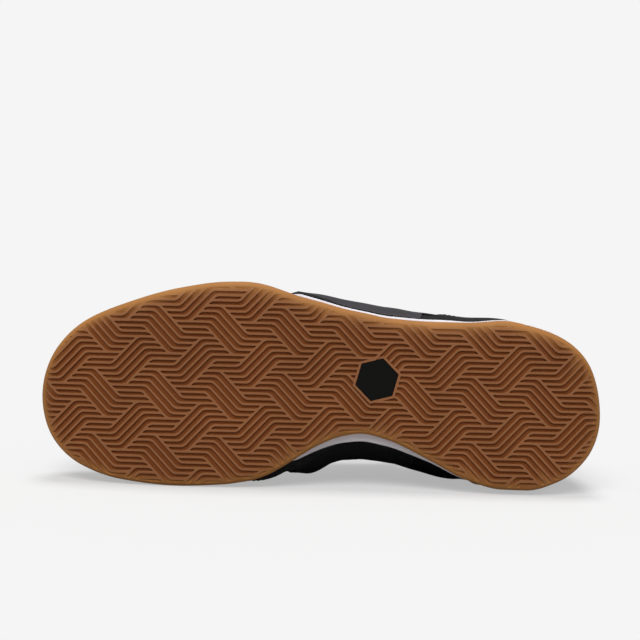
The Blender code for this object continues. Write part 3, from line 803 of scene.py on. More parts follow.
def foam_wall(share):
    """A row a share of the way up the foam's wall, which swells a little between its edges."""
    def height(along):
        return foam_floor(along) + (seat_height(along) - foam_floor(along)) * share

    return -FOAM_SWELL * math.sin(math.pi * share), height, 0.0


foam_rows = [
    (0.008, foam_floor, 0.0),
    (FOAM_ROUND, foam_floor, 0.0),
    (FOAM_ROUND * 0.3, foam_floor, FOAM_ROUND * 0.3),
    (0.0, foam_floor, FOAM_ROUND),
    foam_wall(0.3),
    foam_wall(0.5),
    foam_wall(0.7),
    (0.0, seat_height, -0.0012),
    (0.0003, seat_height, -0.0004),
    (0.0010, seat_height, 0.0),
    (0.008, seat_height, 0.0),
]
midsole = lofted(rings_along(midsole_inset, foam_rows))
slice_across(midsole, bend_places())
midsole = make_piece("foam_midsole", midsole, foam)
stands_for(midsole, "white_foam", "midsole")

# %% [markdown]
# ## The last
# An upper is pulled over a wooden or plastic last, and every panel of it takes the last's form. Here the
# last is a function. It takes a place around the shoe (-1 at the heel, along the lateral side to 0 at the
# toe, and along the medial side to 1) and a share of the way up (0 at the sole, 1 at the collar, the throat
# or the ridge of the vamp). Each panel is then a flat grid that this function wraps round the foot.

# %% Sections of the last
# The places along are shares of the shoe's length, heights of the instep's, and widths of the ball's
LAST_COLUMNS = (
    "along top_along height centre gape low_lateral low_medial high_lateral high_medial rise drop"
)
table("last", LAST_COLUMNS, [
    (0.000, 0.085, 0.465, -0.005, 0.000, 0.020, 0.020, 0.125, 0.125, 0.52, 0.20),
    (0.050, 0.112, 0.490, -0.015, 0.000, 0.020, 0.020, 0.165, 0.165, 0.52, 0.11),
    (0.120, 0.158, 0.530, -0.030, 0.000, 0.020, 0.020, 0.235, 0.215, 0.52, 0.06),
    (0.200, 0.215, 0.580, -0.045, 0.000, 0.020, 0.020, 0.275, 0.245, 0.50, 0.03),
    (0.270, 0.275, 0.635, -0.055, 0.000, 0.025, 0.020, 0.290, 0.245, 0.48, 0.02),
    (0.330, 0.335, 0.695, -0.060, 0.000, 0.025, 0.025, 0.285, 0.240, 0.45, 0.02),
    (0.360, 0.362, 0.725, -0.060, 0.078, 0.028, 0.080, 0.230, 0.215, 0.42, 0.08),
    (0.420, 0.420, 0.800, -0.058, 0.115, 0.045, 0.190, 0.200, 0.245, 0.36, 0.16),
    (0.458, 0.457, 0.848, -0.054, 0.130, 0.085, 0.250, 0.185, 0.280, 0.33, 0.20),
    (0.500, 0.498, 0.900, -0.050, 0.145, 0.128, 0.228, 0.175, 0.220, 0.30, 0.24),
    (0.575, 0.565, 0.970, -0.040, 0.175, 0.146, 0.207, 0.150, 0.195, 0.27, 0.30),
    (0.620, 0.612, 1.000, -0.030, 0.212, 0.142, 0.182, 0.130, 0.172, 0.28, 0.32),
    (0.670, 0.665, 0.930, -0.015, 0.265, 0.113, 0.150, 0.100, 0.130, 0.30, 0.33),
    (0.730, 0.728, 0.790, 0.000, 0.300, 0.082, 0.115, 0.080, 0.105, 0.33, 0.33),
    (0.800, 0.800, 0.700, 0.005, 0.308, 0.055, 0.050, 0.065, 0.075, 0.35, 0.33),
    (0.870, 0.865, 0.705, 0.015, 0.284, 0.015, 0.010, 0.045, 0.045, 0.35, 0.33),
    (0.930, 0.915, 0.765, 0.030, 0.216, 0.010, 0.010, 0.045, 0.045, 0.36, 0.33),
    (0.975, 0.955, 0.835, 0.042, 0.125, 0.010, 0.010, 0.045, 0.045, 0.38, 0.33),
    (1.000, 0.970, 0.865, 0.050, 0.000, 0.010, 0.010, 0.045, 0.045, 0.38, 0.33),
])
WALL = 0.0020
OVERLAY = 0.0012
LINING = 0.0042
# Just short of an edge or of the back seam, where the last's faces are still smooth
NEAR_END = 0.9995
FEATHER_INSET = 0.0022
FEATHER_STEP = 0.0014
VAMP_END = 0.330


def feather_inset(side, along):
    """How far in from the outline the upper meets the sole."""
    behind = midsole_inset(side, along) + FEATHER_STEP
    return FEATHER_INSET + (behind - FEATHER_INSET) * ease(along, CUP_END - 0.02, 0.075)


@lru_cache(maxsize=None)
def section(around):
    """The four handles of the last's section at a place around it, from the sole up."""
    if abs(around) > 1:
        around -= math.copysign(2, around)
    side = LATERAL if around < 0 else MEDIAL
    along = abs(around)
    name = side_name(side)
    foot = sole_edge(side, along, feather_inset(side, along), lambda a: seat_height(a) + GAP)
    top_out = column("last", "centre", along) + side * column("last", "gape", along)
    top = Vector(
        (
            column("last", "top_along", along) * SHOE_LENGTH,
            top_out * BALL_WIDTH,
            column("last", "height", along) * INSTEP_HEIGHT,
        )
    )
    outward = outline_normal(side, along)
    tall = Vector((0, 0, top.z - foot.z))
    low = foot + outward * column("last", "low_" + name, along) * BALL_WIDTH
    low += tall * column("last", "rise", along)
    high = top + outward * column("last", "high_" + name, along) * BALL_WIDTH
    high -= tall * column("last", "drop", along)
    return foot, low, high, top


def last_point(around, up):
    """A point of the last's surface."""
    return bezier(*section(around), up)


def last_normal(around, up):
    """Straight out of the last's surface."""
    ahead, over = 0.003, 0.01
    across = last_point(around + ahead, up) - last_point(around - ahead, up)
    upward = last_point(around, min(up + over, 1.0)) - last_point(around, max(up - over, 0.0))
    return upward.cross(across).normalized()


print("instep stands", round(last_point(0.62, 1.0).z * 1000, 1), "mm above the ground")

# %% [markdown]
# Leather that has been worn a little keeps the memory of each step: shallow troughs across the vamp where
# the toes bend, and finer ones in the quarters. They are listed in the shoe's own lengths, and
# every panel takes them from the same function, so that what lies on the leather creases with it.

# %% Creases
Crease = namedtuple("Crease", "around up half_around half_up tilt depth")
CREASES = [
    Crease(-0.285, 0.86, 0.016, 0.20, 0.10, 0.00055),
    Crease(-0.322, 0.84, 0.013, 0.17, 0.07, 0.00045),
    Crease(0.292, 0.86, 0.016, 0.20, 0.10, 0.00055),
    Crease(0.328, 0.82, 0.012, 0.16, 0.07, 0.00040),
    Crease(-0.640, 0.50, 0.016, 0.22, -0.10, 0.00050),
    Crease(-0.690, 0.55, 0.014, 0.18, -0.08, 0.00035),
    Crease(0.655, 0.50, 0.016, 0.22, -0.10, 0.00050),
]


def crease(around, up):
    """How far the creases press the leather in: a trough with a low ridge on each side of it."""
    total = 0.0
    for c in CREASES:
        aside = (abs(around) - abs(c.around) - c.tilt * (up - c.up)) / c.half_around
        if around * c.around < 0 or abs(aside) > 4:
            continue
        reach = math.exp(-(((up - c.up) / c.half_up) ** 2) - aside * aside)
        total += c.depth * reach * (1 - 0.7 * aside * aside)
    return total


def skin(around, up, lift):
    """A point at a height above the outer face of the upper, or inside it where lift is negative."""
    normal = last_normal(around, up)
    if up > 0.9999 and abs(around) <= VAMP_END + 1e-9:
        normal = (normal + last_normal(-around, up)).normalized()
    return last_point(around, up) + normal * (lift - crease(around, up))


def lap_angle(around):
    """An angle that runs evenly round the shoe, for a place around the last."""
    if abs(around) > 1:
        return math.copysign(2 * math.pi - math.acos(1 - 2 * (2 - abs(around))), around)
    return math.copysign(math.acos(1 - 2 * abs(around)), around)


def lap_place(angle):
    """The place around the last, for such an angle."""
    turn = abs(angle)
    around = (1 - math.cos(turn)) / 2 if turn <= math.pi else 1 + (1 + math.cos(turn)) / 2
    return round(math.copysign(around, angle), 7)


def strip(start, end, low, high):
    """Places of a panel, for shares along it and up it, between two heights that change along it."""
    first, last = lap_angle(start), lap_angle(end)

    def place(along_share, up_share):
        around = lap_place(first + (last - first) * along_share)
        return around, low(around) + (high(around) - low(around)) * up_share

    return place


print("creases reach", max(c.depth for c in CREASES) * 1000, "mm deep")

# %% [markdown]
# One function wraps any panel. A flat grid is laid on the last and its halves are joined where they meet
# on the ridge. The whole is extruded inwards for the leather's thickness, and its cut edges are rounded.

# %% Wrap a panel on the last
EDGE_SOFT = 0.00035
CUT_EDGE = math.radians(62)


def soften(bm, offset):
    """Rounds the cut edges of a piece."""
    cut = [e for e in bm.edges if e.calc_face_angle(0) > CUT_EDGE]
    bmesh.ops.bevel(
        bm, geom=cut, offset=offset, offset_type="OFFSET", segments=2, profile=0.5,
        affect="EDGES", material=-1, clamp_overlap=True,
    )


def joined(pieces):
    """Several bmeshes in one."""
    bm = bmesh.new()
    for piece in pieces:
        mesh = mesh_from(piece, "one of several")
        bm.from_mesh(mesh)
        bpy.data.meshes.remove(mesh)
    return bm


def panel(place, columns, rows, outer, inner, soft=EDGE_SOFT):
    """A sheet on the last. Outer and inner are the heights of its two faces over the upper's."""
    bm = bmesh.new()
    around_layer = bm.verts.layers.float.new("around")
    up_layer = bm.verts.layers.float.new("up")
    bmesh.ops.create_grid(bm, x_segments=columns, y_segments=rows, size=0.5)
    for vert in bm.verts:
        along_share = round((vert.co.x + 0.5) * columns) / columns
        around, up = place(along_share, round((vert.co.y + 0.5) * rows) / rows)
        vert[around_layer] = around
        vert[up_layer] = up
        vert.co = skin(around, up, outer)
    bmesh.ops.remove_doubles(bm, verts=bm.verts, dist=2e-6)
    grown = bmesh.ops.extrude_face_region(bm, geom=list(bm.faces))["geom"]
    for vert in grown:
        if isinstance(vert, bmesh.types.BMVert):
            around, up = vert[around_layer], vert[up_layer]
            vert.co = skin(around, up, inner(around, up) if callable(inner) else inner)
    bmesh.ops.recalc_face_normals(bm, faces=bm.faces)
    if soft:
        soften(bm, soft)
    return bm


def whole(value):
    """The same height all along a panel."""
    return lambda around: value


# %% [markdown]
# ## Leather
# The main leather is full-grain cowhide, dyed through and given a thin pigment finish: a fine pebble of
# cells about a millimetre across, low sheen, and faint brighter rubbing where the surface swells. The
# lateral side panel is the same black leather, smoother and a little glossier, with painted light that
# makes it charcoal grey where the light from above falls on that side.

# %% Leather materials
GRAIN_CELL = 0.0009


def leather_material(name, dark, light, roughness, relief):
    """Pebbled leather with clouds of two shades, and pores between the pebbles."""
    material, tree, shader = new_material(name, Roughness=roughness, IOR=1.48, Specular_IOR_Level=0.16)
    place = object_place(tree)
    cloud = soft_noise(tree, place, 45, 4)
    tree.links.new(colours(tree, cloud, (0.3, dark), (0.75, light)), shader.inputs["Base Color"])
    polish = remap(tree, cloud, To_Min=roughness - 0.06, To_Max=roughness + 0.08)
    tree.links.new(polish, shader.inputs["Roughness"])
    pebble = cells(tree, place, GRAIN_CELL, feature="DISTANCE_TO_EDGE")
    ridge = remap(tree, pebble, From_Min=0.0, From_Max=0.22)
    pores = soft_noise(tree, place, 1.4 / GRAIN_CELL, 3)
    add_bump(tree, shader, combine(tree, "MULTIPLY", {0: ridge, 1: pores}), relief, 0.00035)
    return material


black_leather = leather_material("pebbled black cowhide", "0b0b0b", "131314", 0.52, 0.5)
# Painted light: the lateral quarter's black cowhide is painted charcoal grey for the highlight from above
lit_black_leather = leather_material("smooth black cowhide with painted light", "353337", "3f3d41", 0.46, 0.22)

# %% The leather upper, with its eyelets punched
EYELET_RADIUS = 0.0021
EYELET_ROWS = 6
EYELET_FIRST = 0.368
EYELET_LAST = 0.592
EYELET_SETBACK = 0.075


def eyelet_places():
    """Places of the eyelets along the throat, the same on both sides."""
    step = (EYELET_LAST - EYELET_FIRST) / (EYELET_ROWS - 1)
    return [EYELET_FIRST + step * k for k in range(EYELET_ROWS)]


def punches():
    """Round punches through both sides of the throat."""
    bm = bmesh.new()
    for side in (LATERAL, MEDIAL):
        for along in eyelet_places():
            centre = last_point(side * along, 1 - EYELET_SETBACK)
            turn = last_normal(side * along, 1 - EYELET_SETBACK).to_track_quat("Z", "X")
            bmesh.ops.create_cone(
                bm, cap_ends=True, segments=20, radius1=EYELET_RADIUS, radius2=EYELET_RADIUS, depth=0.012,
                matrix=Matrix.Translation(centre) @ turn.to_matrix().to_4x4(),
            )
    return bm


upper = panel(strip(-1, 1, whole(0.0), whole(1.0)), 230, 30, 0.0, -WALL, soft=0)
upper = make_piece("leather_upper", boolean(upper, punches(), "DIFFERENCE"), black_leather, sharp=50)
stands_for(upper, "black_leather", "upper")

# %% The eyestay
EYESTAY_START, EYESTAY_END = 0.300, 0.610


def eyestay_edge(around):
    """Its lower edge, which drops from a point at the front to its full width."""
    return 0.93 - 0.13 * ease(abs(around), 0.292, 0.055)


def half_eyestay(side):
    """The eyestay's strip on one side of the throat, with its holes punched."""
    place = strip(side * EYESTAY_START, side * EYESTAY_END, eyestay_edge, whole(1.0))
    return boolean(panel(place, 70, 8, GAP + OVERLAY, GAP, soft=0), punches(), "DIFFERENCE")


stay = joined(half_eyestay(side) for side in (LATERAL, MEDIAL))
eyestay = make_piece("leather_eyestay", stay, black_leather, sharp=50)
stands_for(eyestay, "black_leather", "eyestay")

# %% [markdown]
# ## Suede
# Toe and heel are split suede, buffed to a short nap. It takes light like velvet: almost black when seen
# straight on, greyer at a glancing angle, with brushed patches where a hand has passed. The real nap is
# finer than the picture can hold, so its bump is drawn at about a third of a millimetre.

# %% The suede's material
NAP = 0.00035
suede, tree, shader = new_material(
    "buffed black suede", Roughness=0.95, IOR=1.45, Specular_IOR_Level=0.12,
    Sheen_Weight=0.35, Sheen_Roughness=0.45, Sheen_Tint=srgb("8c8c90"),
)
place = object_place(tree)
nap = soft_noise(tree, place, 1 / NAP, 4, Roughness=0.7)
tufts = soft_noise(tree, place, 420, 3, Distortion=1.2)
brushed = combine(tree, "MULTIPLY", {0: soft_noise(tree, place, 70, 3), 1: tufts})
tree.links.new(colours(tree, brushed, (0.12, "0e0e0f"), (0.42, "2a2a2b")), shader.inputs["Base Color"])
height = combine(tree, "MULTIPLY_ADD", {0: tufts, 2: nap}, inputs={1: 1.6})
add_bump(tree, shader, height, 0.55, 0.0004)
print("suede, with a nap of", NAP * 1000, "mm")

# %% The toe piece
# Places along and heights of the edge in side view, as shares of the shoe's length and the instep's height
TOE_EDGE = [
    (0.150, 1.20),
    (0.158, 0.56),
    (0.168, 0.47),
    (0.185, 0.40),
    (0.215, 0.345),
    (0.265, 0.305),
    (0.340, 0.285),
    (0.420, 0.265),
    (0.455, 0.236),
    (0.475, 0.215),
    (0.505, 0.208),
    (0.560, 0.201),
]
TOE_PIECE_END = 0.555
PANEL_FOOT = 0.02


def toe_limit(along):
    """Height of the toe piece's edge in side view. Before the edge the whole last is covered."""
    places, heights = zip(*TOE_EDGE)
    return 2.0 if along <= places[0] else between(places, heights, min(along, places[-1]), False)


@lru_cache(maxsize=None)
def toe_top(around):
    """How far up the last the toe piece reaches."""
    low, high = PANEL_FOOT, 1.0

    def spare(up):
        point = last_point(around, up)
        return toe_limit(point.x / SHOE_LENGTH) - point.z / INSTEP_HEIGHT

    if spare(high) > 0:
        return high
    for _ in range(24):
        middle = (low + high) / 2
        if spare(middle) > 0:
            low = middle
        else:
            high = middle
    return low


toe_place = strip(-TOE_PIECE_END, TOE_PIECE_END, whole(PANEL_FOOT), toe_top)
toe = panel(toe_place, 200, 30, GAP + OVERLAY, GAP)
toe_piece = make_piece("suede_toe_piece", toe, suede)
stands_for(toe_piece, "black_suede", "toe_piece")

# %% The heel counter
COUNTER_ENDS = (0.770, 1.310)
COUNTER_REACH = 0.31
COUNTER_LEAN = 0.14
COUNTER_PEAK = 0.86
COUNTER_FALL = 0.60


def counter_top(around):
    """The counter is highest at the back seam and falls towards both ends."""
    from_back = abs(abs(around) - 1.0)
    return COUNTER_PEAK - COUNTER_FALL * min(from_back / COUNTER_REACH, 1.0) ** 1.2


counter_strip = strip(*COUNTER_ENDS, whole(PANEL_FOOT), counter_top)


def counter_place(along_share, up_share):
    """The ends of the counter lean back as they rise."""
    around, up = counter_strip(along_share, up_share)
    return around - COUNTER_LEAN * (up - PANEL_FOOT) * (2 * along_share - 1) ** 5, up


counter = panel(counter_place, 110, 24, GAP + OVERLAY, GAP)
heel_counter = make_piece("suede_heel_counter", counter, suede)
stands_for(heel_counter, "black_suede", "heel_counter")

# %% [markdown]
# ## The lining, the footbed and the tongue
# The collar is padded with foam under knitted cloth. Its section swells in the middle and thins towards
# both edges. The footbed is the same cloth on a moulded foam sheet, and the tongue is leather sewn round
# a thin pad. All three are soft, so their forms have no flat and no sharp edge.

# %% Knitted cloth
# Real loops are about half as wide, too fine for the picture
KNIT = 0.0009
cloth, tree, shader = new_material(
    "knitted black polyester", Roughness=0.88, IOR=1.46, Specular_IOR_Level=0.2,
    Sheen_Weight=0.2, Sheen_Roughness=0.5, Sheen_Tint=srgb("77777b"),
)
place = object_place(tree)
loops = cells(tree, place, KNIT, Randomness=0.25)
tree.links.new(colours(tree, loops, (0.0, "2b2b2d"), (0.7, "0c0c0d")), shader.inputs["Base Color"])
fuzz = soft_noise(tree, place, 3000, 2)
height = combine(tree, "MULTIPLY_ADD", {0: loops, 2: fuzz}, inputs={1: -1.5})
add_bump(tree, shader, height, 0.5, 0.0003)
print("cloth, with loops of", KNIT * 1000, "mm")

# %% The collar lining
LINING_FOOT, LINING_TOP = 0.66, 0.985
LINING_REACH = 0.31
LINING_EDGE = 0.0012


def lining_inside(around, up):
    """The pad's inner face: thin at its edges, full in the middle, thinner towards its front ends."""
    share = (up - LINING_FOOT) / (LINING_TOP - LINING_FOOT)
    from_back = min(abs(around - 1.0) / LINING_REACH, 1.0)
    full = LINING * (1 - 0.35 * ease(from_back, 0.7, 0.3))
    swell = max(math.sin(math.pi * min(max(share, 0.0), 1.0)), 0.0) ** 0.6
    return -WALL - GAP - LINING_EDGE - (full - 0.0008) * swell


lining_place = strip(1 - LINING_REACH, 1 + LINING_REACH, whole(LINING_FOOT), whole(LINING_TOP))
lining = panel(lining_place, 110, 22, -WALL - GAP, lining_inside, soft=0.0004)
lining = make_piece("padded_collar_lining", lining, cloth, sharp=70)
stands_for(lining, "black_textile", "collar_lining")

# %% The footbed
INSOLE_THICKNESS = 0.0040
INSOLE_MARGIN = 0.0010


def footbed_inset(side, along):
    """How far in from the outline the insole's edge lies."""
    return feather_inset(side, along) + WALL + INSOLE_MARGIN


footbed_rows = [
    (0.0, GAP),
    (-0.0002, GAP + INSOLE_THICKNESS * 0.45),
    (0.0, GAP + INSOLE_THICKNESS * 0.8),
    (0.0005, GAP + INSOLE_THICKNESS),
    (0.0015, GAP + INSOLE_THICKNESS + 0.0002),
    (0.0040, GAP + INSOLE_THICKNESS - 0.0001),
    (0.0080, GAP + INSOLE_THICKNESS - 0.0005),
    (0.0130, GAP + INSOLE_THICKNESS - 0.0007),
]
footbed = lofted(rings_along(footbed_inset, [(inset, seat_height, rise) for inset, rise in footbed_rows]))
slice_across(footbed, bend_places())
footbed = make_piece("footbed_insole", footbed, cloth)
stands_for(footbed, "black_textile", "insole")

# %% The tongue
TONGUE_THICKNESS = 0.0045
TONGUE_RISE = 0.030
TONGUE_START = 0.300
TONGUE_TOP = 0.590
TONGUE_TUCK = 0.14
# Half of its width, where 1 is the throat's edge, and the share of its length that the throat holds
TONGUE_HALF = 1.95
FREE_END = 0.80
TONGUE_EDGE = 0.0005
# The pad gives way by this much where the laces press it under the throat's edges
LACE_ROOM = 0.0013


def instep_point(along, across, lift):
    """On the arch between the eyestays: across runs from -1 to 1, and past 1 under the upper."""
    below = -WALL - 2 * GAP + lift
    if abs(across) >= 1:
        side = math.copysign(1, across)
        return skin(side * along, 1 - (abs(across) - 1) * TONGUE_TUCK, below)
    ends = [skin(side * along, 1.0, below) for side in (LATERAL, MEDIAL)]
    deeper = [skin(side * along, 0.97, below) for side in (LATERAL, MEDIAL)]
    span = (ends[1] - ends[0]).length
    heads = [(e - d).normalized() * span * 0.34 for e, d in zip(ends, deeper)]
    return bezier(ends[0], ends[0] + heads[0], ends[1] + heads[1], ends[1], (across + 1) / 2)


def tongue_drop(along, across):
    """How far the tongue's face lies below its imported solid, where laces press on it."""
    edge = math.exp(-(((abs(across) - 1.15) / 0.45) ** 2))
    return LACE_ROOM * edge * ease(along, 0.335, 0.03)


def tongue_point(share, across):
    """A point of the tongue's face. The share runs from 0 at its hidden end to 1 at its free end."""
    if share <= FREE_END:
        along = TONGUE_START + (TONGUE_TOP - TONGUE_START) * share / FREE_END
        return instep_point(along, across, -tongue_drop(along, across))
    leaving = instep_point(TONGUE_TOP, across, -tongue_drop(TONGUE_TOP, across))
    middle = instep_point(TONGUE_TOP, 0, 0)
    lead = (middle - instep_point(0.56, 0, 0)).normalized()
    reach = (share - FREE_END) / (1 - FREE_END)
    sides = [instep_point(TONGUE_TOP, across_side, 0) for across_side in (1.6, -1.6)]
    centre = middle.lerp(sides[0].lerp(sides[1], 0.5), 0.55)
    narrow = 1 - 0.05 * reach - 0.29 * reach**5
    return centre + lead * TONGUE_RISE * math.sin(reach * math.pi / 2) + (leaving - centre) * narrow


tongue = bmesh.new()
share_layer = tongue.verts.layers.float.new("share")
across_layer = tongue.verts.layers.float.new("across")
bmesh.ops.create_grid(tongue, x_segments=70, y_segments=44, size=0.5)
for vert in tongue.verts:
    vert[share_layer] = vert.co.x + 0.5
    vert[across_layer] = vert.co.y * 2 * TONGUE_HALF
    vert.co = tongue_point(vert[share_layer], vert[across_layer])
bmesh.ops.recalc_face_normals(tongue, faces=tongue.faces)
if sum(f.normal.z for f in tongue.faces) < 0:
    bmesh.ops.reverse_faces(tongue, faces=tongue.faces)
tongue.normal_update()
grown = bmesh.ops.extrude_face_region(tongue, geom=list(tongue.faces))["geom"]
for vert in [g for g in grown if isinstance(g, bmesh.types.BMVert)]:
    from_edge = min(TONGUE_HALF - abs(vert[across_layer]), (1 - vert[share_layer]) * 9, 1.0)
    depth = TONGUE_THICKNESS * (0.35 + 0.65 * ease(from_edge, 0.0, 0.6))
    vert.co -= vert.normal * depth
bmesh.ops.recalc_face_normals(tongue, faces=tongue.faces)
soften(tongue, TONGUE_EDGE)
tongue = make_piece("padded_tongue", tongue, black_leather, sharp=70)
stands_for(tongue, "black_leather", "tongue")

# %% [markdown]
# ## The lace
# A flat lace of braided polyester, about six and a half millimetres wide. A straight bar joins the lowest
# pair of eyelets. From there each half crosses the tongue, dips under the other side's edge and comes up
# through the next eyelet. The ends stop in the top pair.

# %% The lace's route
LACE_WIDTH = 0.0066
LACE_THICKNESS = 0.0011
LACE_STEP = 0.0011
ON_TOP = GAP * 2 + OVERLAY + LACE_THICKNESS / 2
BENEATH = -WALL - GAP - LACE_THICKNESS / 2


def through(side, along, lift):
    """A point on the middle line of an eyelet."""
    return skin(side * along, 1 - EYELET_SETBACK, lift)


def crossing(start, end, side, first, raised):
    """One crossing, from an eyelet up to the other side's next one: points, each with its side and
    place. Between the eyelets a pair gives a share of the way across and a height over the tongue."""
    route = []
    if first:
        route.append((through(side, start, BENEATH - 0.0002), side, start))
        shares = ((0.17, 0.0012), (0.30, 0.0024))
    else:
        route.append((skin(side * start, 1 - EYELET_SETBACK * 0.55, ON_TOP), side, start))
        shares = ((0.10, WALL + 2 * GAP + ON_TOP), (0.26, 0.0038))
    for share, lift in shares + ((0.5, 0.0022 + raised), (0.72, 0.0016), (0.86, 0.0003)):
        along = start + (end - start) * share
        route.append((instep_point(along, side * (1 - 2 * share), lift), side, along))
    route.append((skin(-side * end, 1 - EYELET_SETBACK * 0.45, BENEATH), -side, end))
    return route


def lace_route(side, raised):
    """Stops of one half of the lace, from the middle of the bar to its top eyelet."""
    places = eyelet_places()
    route = [
        (instep_point(places[0], side * 0.0, WALL + ON_TOP), side, places[0]),
        (instep_point(places[0], side * 0.55, WALL + ON_TOP + 0.0004), side, places[0]),
        (skin(side * places[0], 1 - EYELET_SETBACK * 0.25, ON_TOP), side, places[0]),
        (through(side, places[0], ON_TOP - 0.0004), side, places[0]),
        (through(side, places[0], -WALL * 0.5), side, places[0]),
    ]
    here = side
    for k in range(EYELET_ROWS - 1):
        route += crossing(places[k], places[k + 1], here, k == 0, raised)
        here = -here
        route.append((through(here, places[k + 1], -WALL * 0.5), here, places[k + 1]))
        route.append((through(here, places[k + 1], ON_TOP), here, places[k + 1]))
    return route


def smooth_curve(points, step):
    """A smooth curve through given points, sampled evenly."""
    path = []
    for k in range(len(points) - 1):
        p0 = points[max(k - 1, 0)]
        p1, p2 = points[k], points[k + 1]
        p3 = points[min(k + 2, len(points) - 1)]
        reach = (p2 - p1).length
        leave = p1 + (p2 - p0).normalized() * reach / 3
        arrive = p2 - (p3 - p1).normalized() * reach / 3
        count = max(2, math.ceil(reach / step))
        path += [bezier(p1, leave, arrive, p2, j / count) for j in range(count)]
    path.append(points[-1])
    return path


def facing(route_point, side, along):
    """Which way the flat of the lace faces at a point of its route."""
    outward = last_normal(side * along, 1 - EYELET_SETBACK)
    above = (instep_point(along, 0, 0.001) - instep_point(along, 0, 0)).normalized()
    edges = [instep_point(along, s, 0) for s in (LATERAL, MEDIAL)]
    middle = (edges[0] + edges[1]) / 2
    aside = min((route_point - middle).length / ((edges[0] - edges[1]).length / 2), 1.0)
    return above.lerp(outward, aside).normalized()


def lace_mesh(side, raised):
    """A flat section swept along one half's route, and squeezed where it is in a hole."""
    route = lace_route(side, raised)
    points = [p for p, _, _ in route]
    facings = [facing(*stop) for stop in route]
    path = smooth_curve(points, LACE_STEP)
    holes = [through(s, a, ON_TOP / 2) for s in (LATERAL, MEDIAL) for a in eyelet_places()]
    rings = []
    up = facings[0]
    for k, point in enumerate(path):
        ahead = (path[min(k + 1, len(path) - 1)] - path[max(k - 1, 0)]).normalized()
        nearest = min(range(len(points)), key=lambda i: (points[i] - point).length)
        wanted = facings[nearest]
        wanted = wanted if wanted.dot(up) >= 0 else -wanted
        flat = 1 - abs(ahead.dot(facings[nearest]))
        up = up.lerp(wanted, 0.5 * flat)
        up = (up - ahead * up.dot(ahead)).normalized()
        across = ahead.cross(up)
        squeeze = 1 - ease(min((hole - point).length for hole in holes), 0.0016, 0.0034)
        half = LACE_WIDTH / 2 * (1 - 0.44 * squeeze)
        thick = LACE_THICKNESS / 2 * (1 + 0.5 * squeeze)
        rings.append([point + across * half * x + up * thick * z for x, z in LACE_SECTION])
    return lofted(rings)


def round_section(sides, square):
    """A flat oval: the higher the square, the flatter its faces and the tighter its edges."""
    section = []
    for k in range(sides):
        angle = 2 * math.pi * k / sides
        c, s = math.cos(angle), math.sin(angle)
        section.append(
            (math.copysign(abs(c) ** (2 / square), c), math.copysign(abs(s) ** (2 / square), s))
        )
    return section


LACE_SECTION = round_section(12, 3.2)
print("lace crosses", 2 * (EYELET_ROWS - 1), "times")

# %% [markdown]
# The braid's strands lie in small cells. Each catches a soft glint on its crown, and the cord is darkest
# between them. Real strands are about half as wide, too fine for the picture.

# %% Braided cord
BRAID = 0.0011
braid, tree, shader = new_material(
    "braided black polyester", Roughness=0.7, IOR=1.5, Specular_IOR_Level=0.3,
    Sheen_Weight=0.15, Sheen_Roughness=0.4, Sheen_Tint=srgb("8a8a8e"),
)
strands = cells(tree, object_place(tree), BRAID, Randomness=0.15)
tree.links.new(colours(tree, strands, (0.0, "2c2c2e"), (0.7, "0d0d0e")), shader.inputs["Base Color"])
add_bump(tree, shader, strands, 0.6, 0.0003, invert=True)

# %% Thread the lace
# The second half rides over the first, so it is raised where they cross
lace = joined(lace_mesh(side, raised) for side, raised in ((LATERAL, 0.0), (MEDIAL, 0.0013)))
lace = make_piece("flat_lace", lace, braid, sharp=80)
stands_for(lace, "black_cord", "lace")

# %% [markdown]
# ## The quarters and the seams
# Behind the suede of the toe, a smooth leather panel covers each side of the foot: the quarter. It runs
# under the eyestay and along the collar to the back seam. On the lateral side, where it shows above the
# foam, its black leather is painted charcoal grey: painted light for the highlight that the light from
# above lays on that side. Every panel is sewn down close to its edge with a bonded thread, in stitches of
# about two millimetres.

# %% The quarters
QUARTER_LEATHER = 0.0009
QUARTER_FOOT = 0.035
# Where the front edge is a quarter of the way up, and how far it leans forward as it rises
QUARTER_FRONT = 0.432
QUARTER_LEVEL = 0.25
QUARTER_SLANT = 0.11
# How far up the quarter reaches below the collar, and how far it keeps from the pieces beside it
COLLAR_BAND = 0.925
QUARTER_SPARE = 0.012


def quarter_low(around):
    """A little way up from the sole, and above the counter once that begins."""
    over_counter = ease(abs(around), 1 - COUNTER_REACH - 0.02, 0.02)
    return QUARTER_FOOT + (counter_top(around) + QUARTER_SPARE - QUARTER_FOOT) * over_counter


def quarter_high(around):
    """Below the eyestay, and behind it below the collar."""
    along_collar = ease(abs(around), 0.60, 0.05)
    return eyestay_edge(around) - QUARTER_SPARE + (COLLAR_BAND - eyestay_edge(around)) * along_collar


def quarter_place(side):
    """Places of a quarter, whose front edge leans forward as it rises."""
    plain = strip(side * QUARTER_FRONT, side * NEAR_END, quarter_low, quarter_high)

    def place(along_share, up_share):
        around, up = plain(along_share, up_share)
        return around - side * QUARTER_SLANT * (up - QUARTER_LEVEL) * (1 - along_share) ** 3, up

    return place


# The lateral quarter takes the black leather painted lighter, as painted light; the medial one stays black
for side, material in ((LATERAL, lit_black_leather), (MEDIAL, black_leather)):
    quarter = panel(quarter_place(side), 120, 26, GAP + QUARTER_LEATHER, GAP)
    stands_for(make_piece(side_name(side) + "_quarter", quarter, material), "black_leather")

# %% Thread
thread, tree, shader = new_material("bonded nylon thread", Roughness=0.5, IOR=1.53)
twist = soft_noise(tree, object_place(tree), 1800, 1)
tree.links.new(colours(tree, twist, (0.0, "1a1a1b"), (1.0, "3a3a3c")), shader.inputs["Base Color"])
print("thread:", thread.name)

# %% Stitch along a route
STITCH_PITCH = 0.0026
STITCH_LENGTH = 0.0019
THREAD_RADIUS = 0.00024
SEAM_INSET = 0.0021


